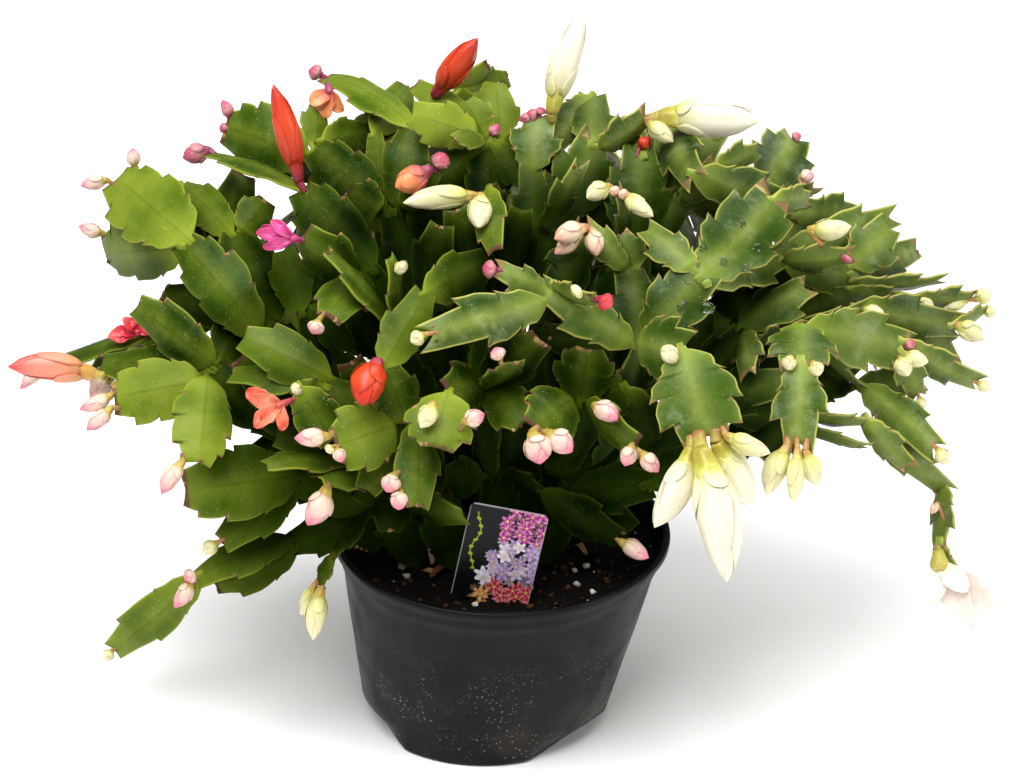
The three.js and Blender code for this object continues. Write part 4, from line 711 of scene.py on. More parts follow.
# Stems. Each blade is [the blade it grows from, or -1 for the soil; right; up; how far behind the
# crown's bulge its tip lies; width; turn in degrees]. The first `inner` ones are old and plain.
# Each bud is [blade; right and up of its foot; right and up of its tip; how far its tip comes
# forward; girth; look], and each flower is the same with its petals' tips and widths.
stems = {
    "left_high": {
        "kind": "round",
        "root": [-30, 14],
        "inner": 3,
        "greens": (0.2, 0.6),
        "ownGreens": {3: 0.25, 4: 0.2, 5: 0.78, 6: 0.5},
        "blades": [
            [-1, -60, -25, 75, 24, 20], [0, -95, 5, 55, 26, -15], [1, -122, 32, 30, 28, 20],
            [2, -162, 76, -4, 31, -12], [2, -136, 81, 22, 34, 15], [3, -195, 107, -10, 40, 10],
            [3, -201, 70, 24, 33, -15], [4, -163, 103, 25, 22, 10], [4, -120, 96, 25, 22, -5],
            [1, -101, 42, 30, 20, 30], [9, -112, 71, 29, 22, -10], [0, -78, 16, 19, 26, 0],
            [9, -71, 23, 50, 24, 0], [7, -144, 68, 45, 20, 0],
        ],
        "buds": [
            [5, -186, 112, -187, 122, 2, 7, "pink"],
            [5, -199, 106, -213, 103, 3, 7, "pink"],
            [6, -201, 79, -214, 83, 3, 7, "pink"],
        ],
    },
    "left_middle": {
        "kind": "round",
        "root": [-36, -4],
        "inner": 3,
        "greens": (0.05, 0.45),
        "ownGreens": {3: 0.1, 4: 0.2, 5: 0.95, 6: 0.85},
        "blades": [
            [-1, -62, -50, 70, 24, -10], [0, -104, -20, 46, 26, 10], [1, -149, 12, 22, 28, 5],
            [2, -185, 44, 0, 26, -20], [2, -203, 14, 14, 24, 25], [2, -197, -3, -8, 32, 10],
            [2, -154, -36, -16, 30, -8], [2, -181, 27, 34, 18, 30], [7, -229, 13, 24, 24, 70],
            [1, -134, 18, 19, 26, 0], [1, -120, -5, 24, 24, 0], [2, -130, 36, 42, 24, 0],
            [1, -98, -55, 66, 22, 0],
        ],
        "buds": [
            [5, -197, -2, -214, -10, 5, 8, "pink"],
            [5, -196, -7, -209, -19, 2, 8, "pink"],
            [6, -161, -33, -172, -50, 4, 9, "pink"],
            [8, -231, 13, -246, 1, 2, 7, "pink"],
            [4, -206, 11, -251, 15, 10, 15, "salmon"],
        ],
        "flowers": [
            [7, -180, 29, -186, 30, 4, 7, "salmon", [[-199, 28, 2, 8], [-176, 33, 4, 6], [-192, 37, 6, 6]]],
        ],
    },
    "top_left": {
        "kind": "round",
        "root": [-24, 32],
        "inner": 3,
        "greens": (0.1, 0.4),
        "ownGreens": {3: 0.15, 4: 0.2},
        "blades": [
            [-1, -38, -20, 90, 24, 0], [0, -55, 20, 62, 26, 15], [1, -72, 60, 36, 28, -10],
            [2, -103, 102, 20, 30, 10], [2, -102, 79, 4, 26, -15], [2, -90, 37, 2, 26, 20],
            [3, -149, 119, 6, 22, 70], [1, -76, 40, 24, 26, 0],
        ],
        "buds": [
            [3, -103, 104, -116, 153, 14, 13, "orange"],
            [6, -148, 121, -162, 117, 3, 10, "rose"],
            [5, -94, 36, -97, 29, 2, 8, "pink"],
        ],
        "flowers": [
            [4, -104, 77, -110, 78, 4, 7, "salmon", [[-127, 81, 2, 8], [-124, 73, 4, 6], [-120, 87, 6, 6]]],
        ],
    },
    "upper_left": {
        "kind": "round",
        "root": [-12, 46],
        "inner": 3,
        "greens": (0.0, 0.35),
        "ownGreens": {3: 0.1, 7: 0.3, 8: 0.45, 9: 0.5, 4: 0.0},
        "blades": [
            [-1, -25, 0, 114, 24, 10], [0, -40, 42, 70, 26, -20], [1, -57, 92, 38, 28, 15],
            [2, -97, 123, 25, 30, 10], [2, -47, 134, 11, 28, -15], [2, -60, 143, 36, 18, 20],
            [2, -66, 130, 24, 15, -10], [3, -141, 133, 10, 36, -5], [3, -95, 143, 14, 17, 25],
            [4, -90, 158, 10, 22, 45], [2, -36, 112, 14, 18, 10], [2, -80, 100, 29, 24, 0],
            [1, -33, 84, 14, 26, -15], [6, -50, 153, 44, 22, 0], [2, -26, 85, 58, 24, 0],
            [3, -68, 129, 45, 22, 0], [5, -78, 119, 56, 20, 0], [2, -62, 123, 48, 24, 0],
        ],
        "buds": [
            [10, -37, 111, -54, 102, 8, 14, "apricot"],
            [7, -138, 136, -142, 146, 2, 6, "rose"],
            [9, -92, 158, -99, 161, 2, 8, "rose"],
            [5, -61, 142, -66, 136, 4, 8, "rose"],
        ],
        "flowers": [
            [9, -91, 157, -89, 151, 4, 7, "orange", [[-92, 139, 2, 8], [-83, 142, 4, 6], [-99, 146, 6, 6]]],
        ],
    },
    "top_middle": {
        "kind": "round",
        "root": [4, 40],
        "inner": 4,
        "greens": (0.0, 0.3),
        "ownGreens": {4: 0.95, 5: 0.7, 6: 0.7, 9: 0.65, 11: 0.6},
        "blades": [
            [-1, -6, -8, 98, 24, 0], [0, -8, 42, 76, 26, 20], [1, -10, 88, 54, 28, -15],
            [2, -8, 128, 26, 26, 10], [3, -48, 139, -10, 25, 8], [3, -20, 146, 4, 20, -10],
            [3, -6, 155, 16, 25, 15], [3, 17, 122, 32, 20, 40], [3, -26, 126, 2, 14, 40],
            [3, -46, 154, 26, 18, 20], [3, -26, 150, 40, 18, 0], [10, -9, 164, 22, 16, 50],
            [2, -9, 102, 12, 18, 25], [12, -6, 70, -2, 17, 25], [1, -26, 92, 14, 26, 0],
            [1, 8, 92, 19, 24, 0], [2, -39, 116, 74, 24, 0], [7, 32, 96, 52, 24, 0],
        ],
        "buds": [
            [10, -39, 142, -18, 170, 20, 15, "orange"],
            [12, -16, 99, -54, 96, 12, 12, "cream"],
            [12, -13, 101, -14, 85, 16, 12, "cream"],
        ],
    },
    "upper_middle": {
        "kind": "claw",
        "root": [19, 36],
        "inner": 3,
        "greens": (0.1, 0.5),
        "ownGreens": {5: 0.55, 6: 0.6},
        "blades": [
            [-1, 24, -10, 114, 24, 10], [0, 20, 38, 88, 26, -10], [1, 20, 82, 52, 28, 20],
            [2, 13, 112, 26, 22, 10], [3, 16, 138, 2, 27, -10], [2, 45, 125, 18, 34, 15],
            [5, 42, 148, 6, 28, 10], [5, 70, 138, -5, 22, 40], [2, 36, 113, 8, 16, 30],
            [1, 40, 78, 19, 26, 0], [6, 20, 120, 26, 22, 0], [2, 59, 92, 72, 24, 0],
            [9, 24, 49, 39, 26, 0],
        ],
        "buds": [
            [4, 22, 138, 38, 188, 8, 15, "white"],
            [7, 71, 135, 84, 124, 6, 10, "cream"],
            [7, 77, 140, 127, 138, 6, 20, "white"],
        ],
    },
    "right_high": {
        "kind": "claw",
        "root": [34, 28],
        "inner": 3,
        "greens": (0.05, 0.55),
        "ownGreens": {5: 0.75, 8: 0.6},
        "blades": [
            [-1, 34, -14, 100, 24, 0], [0, 50, 28, 76, 26, 15], [1, 64, 70, 50, 28, -10],
            [2, 68, 120, 19, 33, 10], [2, 87, 98, 36, 24, 10], [4, 80, 131, 22, 22, 0],
            [5, 94, 108, -6, 26, 15], [4, 105, 113, 6, 20, 20], [4, 104, 128, 20, 20, -15],
            [3, 56, 136, 40, 20, 10], [7, 125, 121, -6, 18, 30], [4, 130, 99, 36, 24, 20],
            [11, 143, 127, 8, 34, 5], [11, 154, 102, 4, 22, 66], [2, 56, 100, 6, 12, 50],
            [6, 146, 88, 24, 28, 0], [15, 176, 88, 44, 24, 0], [4, 54, 90, 56, 24, 0],
            [8, 74, 132, 40, 24, 0],
        ],
        "buds": [
            [8, 103, 129, 109, 134, 2, 7, "pink"],
            [3, 66, 122, 72, 127, 2, 6, "orange"],
            [13, 146, 107, 154, 108, 3, 7, "pink"],
            [14, 52, 103, 40, 97, 6, 9, "cream"],
            [14, 60, 98, 75, 86, 8, 9, "cream"],
        ],
    },
    "right_front": {
        "kind": "claw",
        "root": [40, 2],
        "inner": 3,
        "greens": (0.1, 0.6),
        "ownGreens": {3: 0.1, 5: 0.35, 6: 0.5, 9: 0.35, 4: 0.2},
        "blades": [
            [-1, 48, -42, 62, 24, 0], [0, 58, -8, 48, 24, 50], [1, 67, 26, 20, 24, 62],
            [2, 62, 63, 24, 28, 15], [2, 98, 59, -4, 32, -5], [2, 89, 21, -20, 32, 0],
            [5, 101, -23, -26, 42, 0], [3, 57, 79, 16, 20, 0], [4, 70, 81, 4, 20, 15],
            [4, 134, 97, -8, 38, 0], [9, 151, 97, 6, 16, 20], [4, 138, 68, 26, 26, -10],
            [11, 172, 69, -4, 19, 35], [11, 173, 57, 26, 20, -10], [11, 192, 88, 16, 22, 15],
            [13, 192, 82, 6, 29, 5], [13, 216, 56, 2, 18, 60], [13, 203, 45, 18, 18, 45],
            [17, 233, 48, -2, 18, 50], [3, 40, 84, 8, 16, 20], [2, 20, 50, 12, 26, 25],
            [20, -38, 29, -8, 27, 5], [20, -4, 61, 2, 18, 30], [20, 44, 46, -6, 18, 62],
            [1, 70, 40, 34, 26, 0], [13, 205, 71, 46, 22, 0], [17, 223, 14, 38, 20, 0],
            [11, 98, 56, 46, 26, 0],
        ],
        "buds": [
            [6, 93, -27, 74, -67, 4, 15, "white"],
            [6, 98, -26, 111, -92, 14, 21, "white"],
            [6, 106, -26, 124, -58, -14, 17, "white"],
            [6, 108, -22, 131, -31, 4, 10, "cream"],
            [12, 150, 80, 172, 82, 6, 11, "cream"],
            [16, 197, 57, 204, 55, 4, 8, "cream"],
            [17, 203, 48, 214, 42, 4, 7, "cream"],
            [18, 234, 46, 243, 50, 2, 8, "cream"],
            [19, 41, 83, 25, 77, 6, 11, "peach"],
            [19, 42, 82, 45, 68, 6, 9, "peach"],
            [21, -41, 29, -48, 25, 2, 7, "cream"],
            [23, 33, 49, 37, 52, 2, 7, "cream"],
        ],
    },
    "right_side": {
        "kind": "claw",
        "root": [47, 16],
        "inner": 3,
        "greens": (0.1, 0.6),
        "blades": [
            [-1, 66, -32, 82, 24, 10], [0, 96, -2, 56, 26, -10], [1, 122, 30, 32, 26, 15],
            [2, 150, 32, 10, 24, 66], [3, 147, 14, -12, 34, 0], [3, 199, 22, -2, 30, -5],
            [2, 121, 10, 16, 18, 30], [4, 145, -26, -14, 27, 5], [2, 177, 43, 20, 20, 70],
            [8, 224, 33, 8, 25, 10], [9, 239, 41, 16, 14, 55], [5, 234, 5, 0, 18, 20],
            [5, 206, -1, 10, 17, -10], [3, 178, 2, 26, 18, 68], [13, 214, -27, -2, 24, -20],
            [1, 147, -11, 30, 24, 30], [15, 181, -15, 14, 20, 70], [16, 200, -37, 6, 18, 30],
            [16, 220, -48, 16, 18, 20], [15, 178, -27, 16, 16, 66], [18, 217, -77, -6, 16, 40],
            [20, 221, -93, -6, 13, 30], [1, 134, 34, 44, 28, 0], [2, 150, 52, 14, 26, -30],
            [1, 140, 6, 14, 26, 0], [15, 173, 15, 50, 24, 0], [22, 177, 52, 64, 24, 0],
            [22, 131, 2, 64, 22, 0], [13, 208, 6, 46, 20, 0],
        ],
        "buds": [
            [7, 140, -26, 129, -51, 4, 12, "cream"],
            [7, 145, -27, 143, -54, 6, 9, "cream"],
            [7, 149, -28, 155, -46, -2, 10, "cream"],
            [4, 142, 18, 141, 11, 4, 7, "cream"],
            [4, 153, 15, 156, 8, 4, 7, "cream"],
            [5, 198, 19, 211, 15, 4, 8, "cream"],
            [5, 196, 18, 201, 8, 4, 9, "cream"],
            [9, 224, 34, 239, 26, 3, 10, "cream"],
            [11, 235, 5, 242, 1, 2, 6, "cream"],
            [14, 215, -28, 221, -36, 2, 7, "cream"],
            [18, 218, -54, 219, -62, 5, 6, "pink"],
        ],
        "flowers": [
            [20, 216, -85, 217, -96, 3, 10, "white",
                [[244, -117, 3, 14], [233, -124, 6, 11], [213, -113, 8, 9], [231, -106, 12, 9]]],
        ],
    },
    "middle": {
        "kind": "round",
        "root": [6, -12],
        "inner": 2,
        "greens": (0.0, 0.4),
        "ownGreens": {3: 0.68},
        "blades": [
            [-1, -6, -40, 62, 24, 10], [0, -12, 6, 36, 26, -55], [1, -30, -1, 6, 28, 0],
            [2, -36, -28, -10, 34, 5], [1, 4, 15, 8, 22, 60], [1, 5, 34, 22, 26, -10],
            [1, 17, 27, 15, 28, 20], [0, 4, -15, 58, 30, 0], [0, 19, -50, 46, 20, 60],
            [8, 57, -74, 42, 22, 25], [0, -32, -43, 66, 22, 0], [1, 8, -16, 14, 24, 0],
            [1, 6, 42, 56, 26, 0],
        ],
        "buds": [
            [3, -36, -5, -43, -18, 3, 9, "cream"],
            [9, 57, -75, 72, -84, 4, 9, "pink"],
            [4, -3, 16, -6, 22, 3, 7, "pink"],
            [5, 9, 33, 11, 47, 4, 8, "orange"],
        ],
    },
    "middle_right": {
        "kind": "round",
        "root": [26, -20],
        "inner": 2,
        "greens": (0.0, 0.45),
        "blades": [
            [-1, 30, -45, 58, 24, -20], [0, 39, -3, 28, 26, 20], [1, 41, 22, 18, 30, 0],
            [1, 66, -27, 2, 22, 45], [1, 14, -19, -6, 30, 0], [0, 62, -71, 50, 28, 10],
            [0, 74, -46, 34, 26, 0], [1, 60, 2, 24, 26, 15], [6, 89, -20, 54, 26, 0],
            [7, 72, -26, 44, 24, 0],
        ],
        "buds": [
            [1, 41, -4, 53, -11, 12, 10, "pink"],
            [3, 63, -26, 59, -37, 4, 8, "pink"],
            [4, 13, -20, 17, -36, 6, 13, "pink"],
            [4, 20, -20, 33, -30, 4, 11, "pink"],
        ],
    },
    "middle_left": {
        "kind": "round",
        "root": [-14, -24],
        "inner": 2,
        "greens": (0.1, 0.55),
        "ownGreens": {2: 0.6, 9: 0.35},
        "blades": [
            [-1, -36, -50, 52, 24, 15], [0, -52, -14, 26, 26, -20], [1, -86, -27, -6, 34, 0],
            [1, -45, -58, 0, 24, -15], [1, -62, 14, 10, 26, 10], [1, -55, 32, 34, 20, 66],
            [5, -90, 71, -6, 22, 66], [5, -58, 68, 2, 22, 66], [1, -92, 3, 18, 24, 20],
            [8, -132, 28, 2, 27, 5], [8, -104, 2, 4, 16, 0], [8, -138, 9, 14, 20, 40],
            [1, -70, -50, 14, 24, -15], [4, -40, 50, 14, 24, 0], [10, -87, -25, 14, 24, 0],
            [13, -8, 66, 34, 26, 0],
        ],
        "buds": [
            [4, -65, 16, -73, -6, 16, 17, "orange"],
            [2, -88, -22, -106, -23, 5, 9, "pink"],
            [3, -56, -41, -60, -50, 5, 9, "pink"],
            [3, -53, -49, -54, -59, 5, 8, "pink"],
            [10, -103, 3, -107, 0, 3, 6, "cream"],
            [7, -55, 64, -51, 60, 3, 7, "cream"],
        ],
        "flowers": [
            [10, -110, -5, -119, -9, 4, 7, "salmon",
                [[-134, -1, 2, 8], [-130, -19, 4, 8], [-116, -21, 6, 6]]],
        ],
    },
    "low_left": {
        "kind": "round",
        "root": [-33, -22],
        "inner": 1,
        "greens": (0.3, 0.8),
        "ownGreens": {5: 0.9, 6: 0.6, 7: 0.55, 11: 0.5},
        "blades": [
            [-1, -62, -52, 58, 24, 0], [0, -80, -34, 34, 24, 20], [1, -84, -48, 6, 27, 0],
            [1, -121, -36, -4, 20, 60], [1, -116, -23, 26, 20, 20], [0, -106, -44, 36, 26, -10],
            [5, -162, -49, 0, 37, 0], [5, -143, -75, 14, 25, 10], [0, -108, -77, 42, 24, 10],
            [8, -155, -93, 14, 22, 30], [8, -146, -97, 28, 22, -10], [9, -197, -129, -10, 24, -10],
            [0, -88, -84, 26, 20, 66], [12, -94, -96, 22, 12, 50], [0, -58, -70, 32, 21, 0],
            [0, -72, -79, 50, 24, 0], [0, -21, -62, 16, 22, 50],
        ],
        "buds": [
            [2, -89, -48, -99, -67, 5, 13, "pink"],
            [13, -93, -96, -97, -122, 4, 11, "cream"],
            [13, -97, -98, -104, -114, -8, 8, "cream"],
            [7, -144, -75, -152, -81, 2, 7, "cream"],
            [9, -157, -94, -166, -108, 4, 8, "pink"],
            [9, -155, -91, -161, -94, 4, 7, "pink"],
            [11, -197, -129, -201, -134, 2, 6, "cream"],
        ],
    },
}

# Stems on the far side, placed by rule: [kind, root, heading in degrees from straight back, reach, rise]
farStems = {
    "far_left_low": ["round", [-42, 42], -66, 176, 104],
    "far_left_high": ["round", [-22, 58], -42, 128, 158],
    "far_mid_left": ["round", [-6, 68], -22, 150, 98],
    "far_middle": ["claw", [10, 62], 0, 108, 166],
    "far_mid_right": ["claw", [24, 70], 20, 150, 102],
    "far_right_high": ["claw", [38, 58], 44, 128, 154],
    "far_right_low": ["claw", [52, 42], 64, 178, 106],
}
farGrowth = {
    "steps": 5,
    "sway": 16,
    "slope": 1.25,  # how late it leans outwards
    "droop": 0.85,
    "forks": [[1, 1], [2, -1], [3, 1], [3, -1]],  # the segment that each side one grows from, and its side
    "forkLength": 38,
    "forkTurn": (46, 20),
    "forkDrop": 0.45,
    "widths": (25, 6),
    "forkWidths": (24, 7),
    "twist": 50,
    "inner": 2,
    "greens": (0.15, 0.75),
}
growth = {"soilTop": 89.0, "rootRise": 3.0, "largeWidth": 30, "loneBud": 17.0}


def rootPlace(root):
    return np.array([root[0], root[1], growth["soilTop"] + growth["rootRise"]])


def nearBlades(stem, number):
    blades = []
    for n, (parent, right, up, back, width, turn) in enumerate(stem["blades"]):
        start = rootPlace(stem["root"]) if parent < 0 else blades[parent]["to"]
        near = crownNear(right, up) - back
        to = sighted(right, up, near)
        face = unit(eye - (start + to) / 2)
        large = stem["kind"] if width >= growth["largeWidth"] else stem["kind"] + "Small"
        outline = "plain" if n < stem["inner"] else large
        blade = newBlade(parent, start, to, width, turn, face, outline, n)
        blade["near"] = near
        blade["inward"] = True
        if n < stem["inner"]:
            blade["rows"] = segment["innerRows"]
        blade["seed"] = number * 41 + n
        blades.append(blade)
    return finishBlades(blades, stem["inner"], stem["greens"], stem.get("ownGreens", {}))


def farBlades(kind, root, heading, reach, rise, order):
    start = rootPlace(root)
    swing = math.radians(heading)
    outward = np.array([math.sin(swing), math.cos(swing), 0.0])
    across = np.array([outward[1], -outward[0], 0.0])
    spans = []
    before = start
    for k in range(1, farGrowth["steps"] + 1):
        share = k / farGrowth["steps"]
        to = start + outward * reach * share ** farGrowth["slope"]
        to = to + across * farGrowth["sway"] * (vary(order * 31 + k) - 0.5)
        to[2] = growth["soilTop"] + rise * math.sin(math.pi * farGrowth["droop"] * share)
        spans.append([k - 2, before, to, drawn(farGrowth["widths"], order * 17 + k)])
        before = to
    for n, (joint, side) in enumerate(farGrowth["forks"]):
        carrier = spans[joint]
        way = unit(carrier[2] - carrier[1])
        lift = unit(np.cross(across, way))
        way = turnAbout(way, lift, -side * drawn(farGrowth["forkTurn"], order * 7 + n))
        way = way - lift * farGrowth["forkDrop"] * (0.3 + vary(order * 5 + n))
        to = carrier[2] + unit(way) * (farGrowth["forkLength"] + 8 * vary(order + n))
        spans.append([joint, carrier[2], to, drawn(farGrowth["forkWidths"], order * 3 + n)])
    blades = []
    heart = np.array([0.0, 20.0, growth["soilTop"] + 20])  # what the far segments face away from
    for n, (parent, before, to, width) in enumerate(spans):
        face = unit((before + to) / 2 - heart)
        turn = farGrowth["twist"] * (vary(order * 13 + n) - 0.5)
        outline = "plain" if n < farGrowth["inner"] else kind + "Small"
        blade = newBlade(parent, before, to, width, turn, face, outline, n)
        blade["seed"] = 700 + order * 41 + n
        blade["rows"] = segment["farRows"]
        blades.append(blade)
    return finishBlades(blades, farGrowth["inner"], farGrowth["greens"], {})


def finishBlades(blades, inner, greens, ownGreens):  # how light a green each segment has, from 0 to 1
    spreadNecks(blades)
    for n, blade in enumerate(blades):
        green = greens[0] + (greens[1] - greens[0]) * vary(blade["seed"] * 1.7)
        blade["tone"] = ownGreens.get(n, green)
        # Old segments get a darker tone: partly their age, partly painted shade on the old ones low in the
        # crown
        blade["age"] = 0.7 if n < inner else (0.25 if blade["children"] else 0.1 * vary(n))
    return blades


def stalkStart(blades, base):  # the nearest point of a young segment, where a bud's stalk begins
    spots = []
    for blade in blades:
        for t in stalk["along"]:
            for aside in stalk["aside"] * blade["width"]:
                spots.append(bladePoint(blade, t, aside, 0.0))
    return min(spots, key=lambda spot: float(np.linalg.norm(spot - base)))


def addStalk(skin, low, high, radii, look, places=(0.0, bud["colourFoot"])):
    side, other = budFrame(low, high)[1:]
    rings, sides = stalk["rings"], stalk["sides"]
    points, place = [], []
    for ring in range(rings):
        share = ring / (rings - 1)
        radius = np.interp(share, np.linspace(0, 1, len(radii)), radii)
        points += ringPoints(low + (high - low) * share, side, other, radius, sides)
        place += [[places[0] + (places[1] - places[0]) * share, 0.5]] * sides
    addPart(skin, points, tubeFaces(rings, sides), look, place)


def budStalk(girth):
    return [max(stalk["least"], girth * share) for share in stalk["radii"]]


def budPlaces(row, blade, lift):
    right, up, tipRight, tipUp, forward = row[1:6]
    start = sighted(right, up, blade["near"] + lift)
    return start, sighted(tipRight, tipUp, blade["near"] + lift + forward)


def middleOf(points):
    return (points.min(0) + points.max(0)) / 2


def seatShift(node, skin):  # the CAD slid its buds on to their stems, so the fine ones follow it
    low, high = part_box(node)
    return (np.array(low) + np.array(high)) / 2 / millimetre - middleOf(np.concatenate(skin["points"]))


def makeBud(name, row, blades, seed):
    blade = blades[row[0]]
    start, to = budPlaces(row, blade, 0.0)
    girth, look = row[6], row[7]
    trial = newSkin()
    addBud(trial, start, to, girth, 0, seed)
    shift = seatShift(name, trial)
    skin = newSkin()
    petals = "longPetals" if look == "white" else "petals"
    girth *= 1.0 if look == "white" else bud["slim"]
    addBud(skin, start + shift, to + shift, girth, 0, seed, petals=petals)
    base = start + shift + unit(to - start) * bud["sunk"]
    addStalk(skin, stalkStart(blades, base), base, budStalk(girth), 0)
    makePiece(name + "_fine", skin, [petalMaterials[look]], [name])


# Wilted and open flowers: a tube, and thin petals that hang from its throat, one over the other
bloom = {
    "thick": 0.45, "rows": 24, "columns": 15, "cup": 0.16, "ruffle": 0.07, "least": 0.4,
    "tube": (0.17, 0.2, 0.26, 0.3, 0.2),  # radii in girths
    "tubeEnd": 0.22,  # share of a flower's colours that the tube takes up
    "throat": 0.7,  # where on the tube the petals start
    "ahead": 2.0,
    "bend": 0.45,
    "lift": 0.12,
    "neck": 0.34,
    "widen": 1.3,
    "roundFrom": 0.5,  # where a petal's end starts to round off
    "shorten": 0.2,  # how much shorter and narrower the petals beneath may be
    "narrow": 0.15,
}

# look, petals over each other at a tip, how much wider than in the plain part, how crumpled, how
# blunt, and how thick the tube
flowerLooks = {
    "left_middle": ["scarlet", 2, 1.1, 2.2, 1.6, 1.0],
    "top_left": ["magenta", 2, 1.0, 2.0, 1.7, 1.0],
    "upper_left": ["apricot", 2, 1.35, 0.9, 2.4, 1.1],
    "right_side": ["blush", 1, 1.4, 0.8, 1.25, 1.7],
    "middle_left": ["coral", 2, 1.2, 1.7, 2.0, 1.0],
}


def addBloom(skin, throat, petals, seed, look):  # petals bent from the throat to their tips
    layers, wider, crumple, blunt = look[1:5]
    for n, (tip, width) in enumerate(petals):
        for layer in range(layers):
            draw = [vary(seed * 3 + n * 5 + layer * 11 + k) - 0.5 for k in range(4)]
            reach = 1.0 if layer == 0 else 0.8 + bloom["shorten"] * draw[0]
            end = throat + (tip - throat) * reach
            span = float(np.linalg.norm(end - throat))
            sway = unit(np.cross(tip - throat, sightNear))
            end = end + sway * draw[1] * span * 0.5 * min(layer, 1)
            along = unit(end - throat)
            over = bloom["lift"] + bloom["lift"] * draw[2]
            bendPoint = throat + along * span * bloom["bend"] + sightNear * span * over
            line, widths = [], []
            for k in range(bloom["rows"]):
                share = k / (bloom["rows"] - 1)
                near, far = (1 - share) ** 2, share ** 2
                line.append(near * throat + 2 * share * (1 - share) * bendPoint + far * end)
                ended = max(0.0, share - bloom["roundFrom"]) / (1 - bloom["roundFrom"])
                rounded = math.sqrt(max(0.0, 1 - ended ** blunt))
                taper = min(1.0, bloom["neck"] + bloom["widen"] * share) * rounded
                widths.append(max(bloom["least"], width * wider * taper * (1 - bloom["narrow"] * layer)))
            way = np.cross(along, unit(sightNear + sway * draw[3] * 1.4))
            addPetal(
                skin, line, way, widths, bloom["thick"], bloom["cup"], 0, seed + n + layer * 7,
                place=(bloom["tubeEnd"], 1.0), columns=bloom["columns"],
                ruffle=bloom["ruffle"] * width, crumple=crumple * width / 9,
            )


def makeFlower(stem, row, blades, seed):
    blade, name, look = blades[row[0]], stem + "_flower", flowerLooks[stem]
    start, to = budPlaces(row, blade, bloom["ahead"])
    girth, near = row[6], blade["near"] + bloom["ahead"]
    petals = [(sighted(right, up, near + ahead), width) for right, up, ahead, width in row[8]]
    throat = start + (to - start) * bloom["throat"]
    trial = newSkin()
    addBud(trial, start, to, girth, 0, seed)
    addBloom(trial, throat, petals, seed, [look[0], 1, 1.0, 0.0, 2.0])
    shift = seatShift(name, trial)
    skin = newSkin()
    base = start + shift + unit(to - start) * bud["sunk"]
    addStalk(skin, stalkStart(blades, base), base, budStalk(girth), 0)
    tube = [girth * share * look[5] for share in bloom["tube"]]
    addStalk(skin, base, to + shift, tube, 0, (bud["colourFoot"], bloom["tubeEnd"]))
    addBloom(skin, throat + shift, [(tip + shift, width) for tip, width in petals], seed, look)
    makePiece(name + "_fine", skin, [petalMaterials[look[0]]], [name])


# Leaf material: deep green flesh, paler along the midrib and at the neck, a thin light margin,
# corky tips on some segments, dust with a painted sheen, fine specks, and painted shade, mixed
# with age, that darkens it deep in the crown, on the far side's undersides and on old segments
leafLooks = {
    "round": {
        "deep": "183002", "base": "3f5809", "light": "8b9a30", "margin": "a3a93c", "rib": "283c06",
        "neck": "93a52c", "cork": "5c3730", "scab": "b48a58", "dust": "8fa06a", "ribShare": 0.2,
        "ribReach": 1.1, "glow": 0.3, "edgeShare": 0.45, "edgeReach": 0.45, "dustAndSheenShare": 0.12,
        "speck": "cdd6a8", "speckShare": 0.5, "shade": "4a5f2c", "tipReach": 3.6, "gloss": 0.1,
    },
    "claw": {
        "deep": "1c3408", "base": "3f5913", "light": "8a9846", "margin": "b6b257", "rib": "849a3a",
        "neck": "93a93a", "cork": "8a6a45", "scab": "b9a06c", "dust": "8e9c74", "ribShare": 0.2,
        "ribReach": 2.4, "glow": 0.62, "edgeShare": 0.75, "edgeReach": 0.6, "dustAndSheenShare": 0.5,
        "speck": "cdd6a8", "speckShare": 0.4, "shade": "4a5f2c", "tipReach": 1.6, "gloss": 0.2,
    },
}


